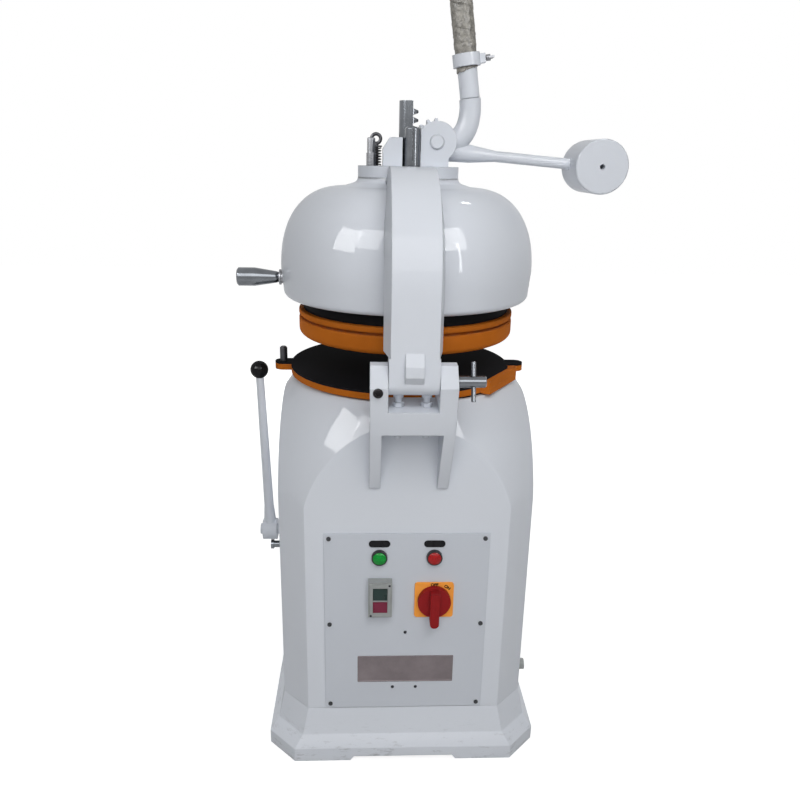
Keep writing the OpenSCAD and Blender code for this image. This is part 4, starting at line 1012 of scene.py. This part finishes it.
def make_floor(size):
    """A pale sheet that stays white to the camera and keeps the shadow."""
    half = size / 2
    mesh = bpy.data.meshes.new("floor")
    mesh.from_pydata([(-half, -half, 0), (half, -half, 0), (half, half, 0), (-half, half, 0)], [],
                     [(0, 1, 2, 3)])
    floor = mesh_object("floor", mesh)
    material = bpy.data.materials.new("floor_sheet")
    material.use_nodes = True
    tree = material.node_tree
    tree.nodes.clear()
    matt = put(tree, "ShaderNodeBsdfDiffuse", {0: FLOOR_GREY})
    place = put(tree, "ShaderNodeNewGeometry").outputs["Position"]
    away = put(tree, "ShaderNodeVectorMath", {0: place}, operation="LENGTH").outputs["Value"]
    level = math_of(tree, "MULTIPLY", background_rays(tree),
                    ranged(tree, away, FLOOR_NEAR, FLOOR_FAR, GLOW_NEAR, GLOW_FAR))
    glow = put(tree, "ShaderNodeEmission", {0: WHITE, 1: level})
    both = put(tree, "ShaderNodeAddShader", {0: matt.outputs[0], 1: glow.outputs[0]})
    put(tree, "ShaderNodeOutputMaterial", {0: both.outputs[0]})
    mesh.materials.append(material)


def make_camera(stage):
    """The camera at the photograph's place and angle."""
    yaw, pitch, roll = stage.camera_yaw, stage.camera_pitch, stage.camera_roll
    ahead = Vector((math.sin(yaw) * math.cos(pitch), math.cos(yaw) * math.cos(pitch),
                    -math.sin(pitch)))
    right = Vector((math.cos(yaw), -math.sin(yaw), 0.0))
    over = right.cross(ahead)
    right_rolled = right * math.cos(roll) + over * math.sin(roll)
    over_rolled = over * math.cos(roll) - right * math.sin(roll)
    camera = bpy.data.objects.new("camera", bpy.data.cameras.new("camera"))
    turn = Matrix((right_rolled, over_rolled, -ahead)).transposed().to_4x4()
    camera.matrix_world = Matrix.Translation(Vector(stage.camera_place)) @ turn
    camera.data.lens = stage.camera_lens
    camera.data.sensor_width = SENSOR_WIDTH
    camera.data.clip_end = VIEW_DEPTH
    bpy.context.scene.collection.objects.link(camera)
    bpy.context.scene.camera = camera


class ROUNDER_OT_stage(bpy.types.Operator):
    """Floor, light, world and camera"""

    bl_idname = "rounder.stage"
    bl_label = "Stage"

    def execute(self, context):
        stage = context.scene.rounder_stage
        make_world(stage.fill)
        make_floor(stage.floor_size)
        area_lights(stage, PLAIN_LAMPS)
        area_lights(stage, MATT_LAMPS, mirrored=False)
        area_lights(stage, GLOSS_LAMPS, lighting=False)
        make_camera(stage)
        context.scene.view_settings.view_transform = "Standard"
        return {"FINISHED"}


MAKERS = (ROUNDER_OT_paintwork, ROUNDER_OT_metalwork, ROUNDER_OT_mouldings, ROUNDER_OT_name_plate,
          ROUNDER_OT_lamp_tags, ROUNDER_OT_small_screws, ROUNDER_OT_ear_screw,
          ROUNDER_OT_switch_marks, ROUNDER_OT_grip_wrap, ROUNDER_OT_stage)


class ROUNDER_PT_sidebar(bpy.types.Panel):
    """Sizes, colours and makers of the rounder's looks"""

    bl_idname = "ROUNDER_PT_sidebar"
    bl_label = "Divider rounder"
    bl_space_type = "VIEW_3D"
    bl_region_type = "UI"
    bl_category = "Rounder"

    def draw(self, context):
        for group in (context.scene.rounder_sizes, context.scene.rounder_colours,
                      context.scene.rounder_stage):
            box = self.layout.box()
            for name in group.__annotations__:
                box.prop(group, name)
        for maker in MAKERS:
            self.layout.operator(maker.bl_idname)


GROUPS = {"rounder_sizes": RounderSizes, "rounder_colours": RounderColours,
          "rounder_stage": RounderStage}
CLASSES = (*GROUPS.values(), *MAKERS, ROUNDER_PT_sidebar)


def register():
    """Adds the classes and the scene's values."""
    for item in CLASSES:
        bpy.utils.register_class(item)
    for name, group in GROUPS.items():
        setattr(bpy.types.Scene, name, PointerProperty(type=group))


def unregister():
    """Takes the scene's values and the classes away again."""
    for name in GROUPS:
        delattr(bpy.types.Scene, name)
    for item in reversed(CLASSES):
        bpy.utils.unregister_class(item)


def main():
    """Makes everything in order."""
    register()
    for maker in MAKERS:
        family, action = maker.bl_idname.split(".")
        getattr(getattr(bpy.ops, family), action)()


if __name__ == "__main__":
    main()
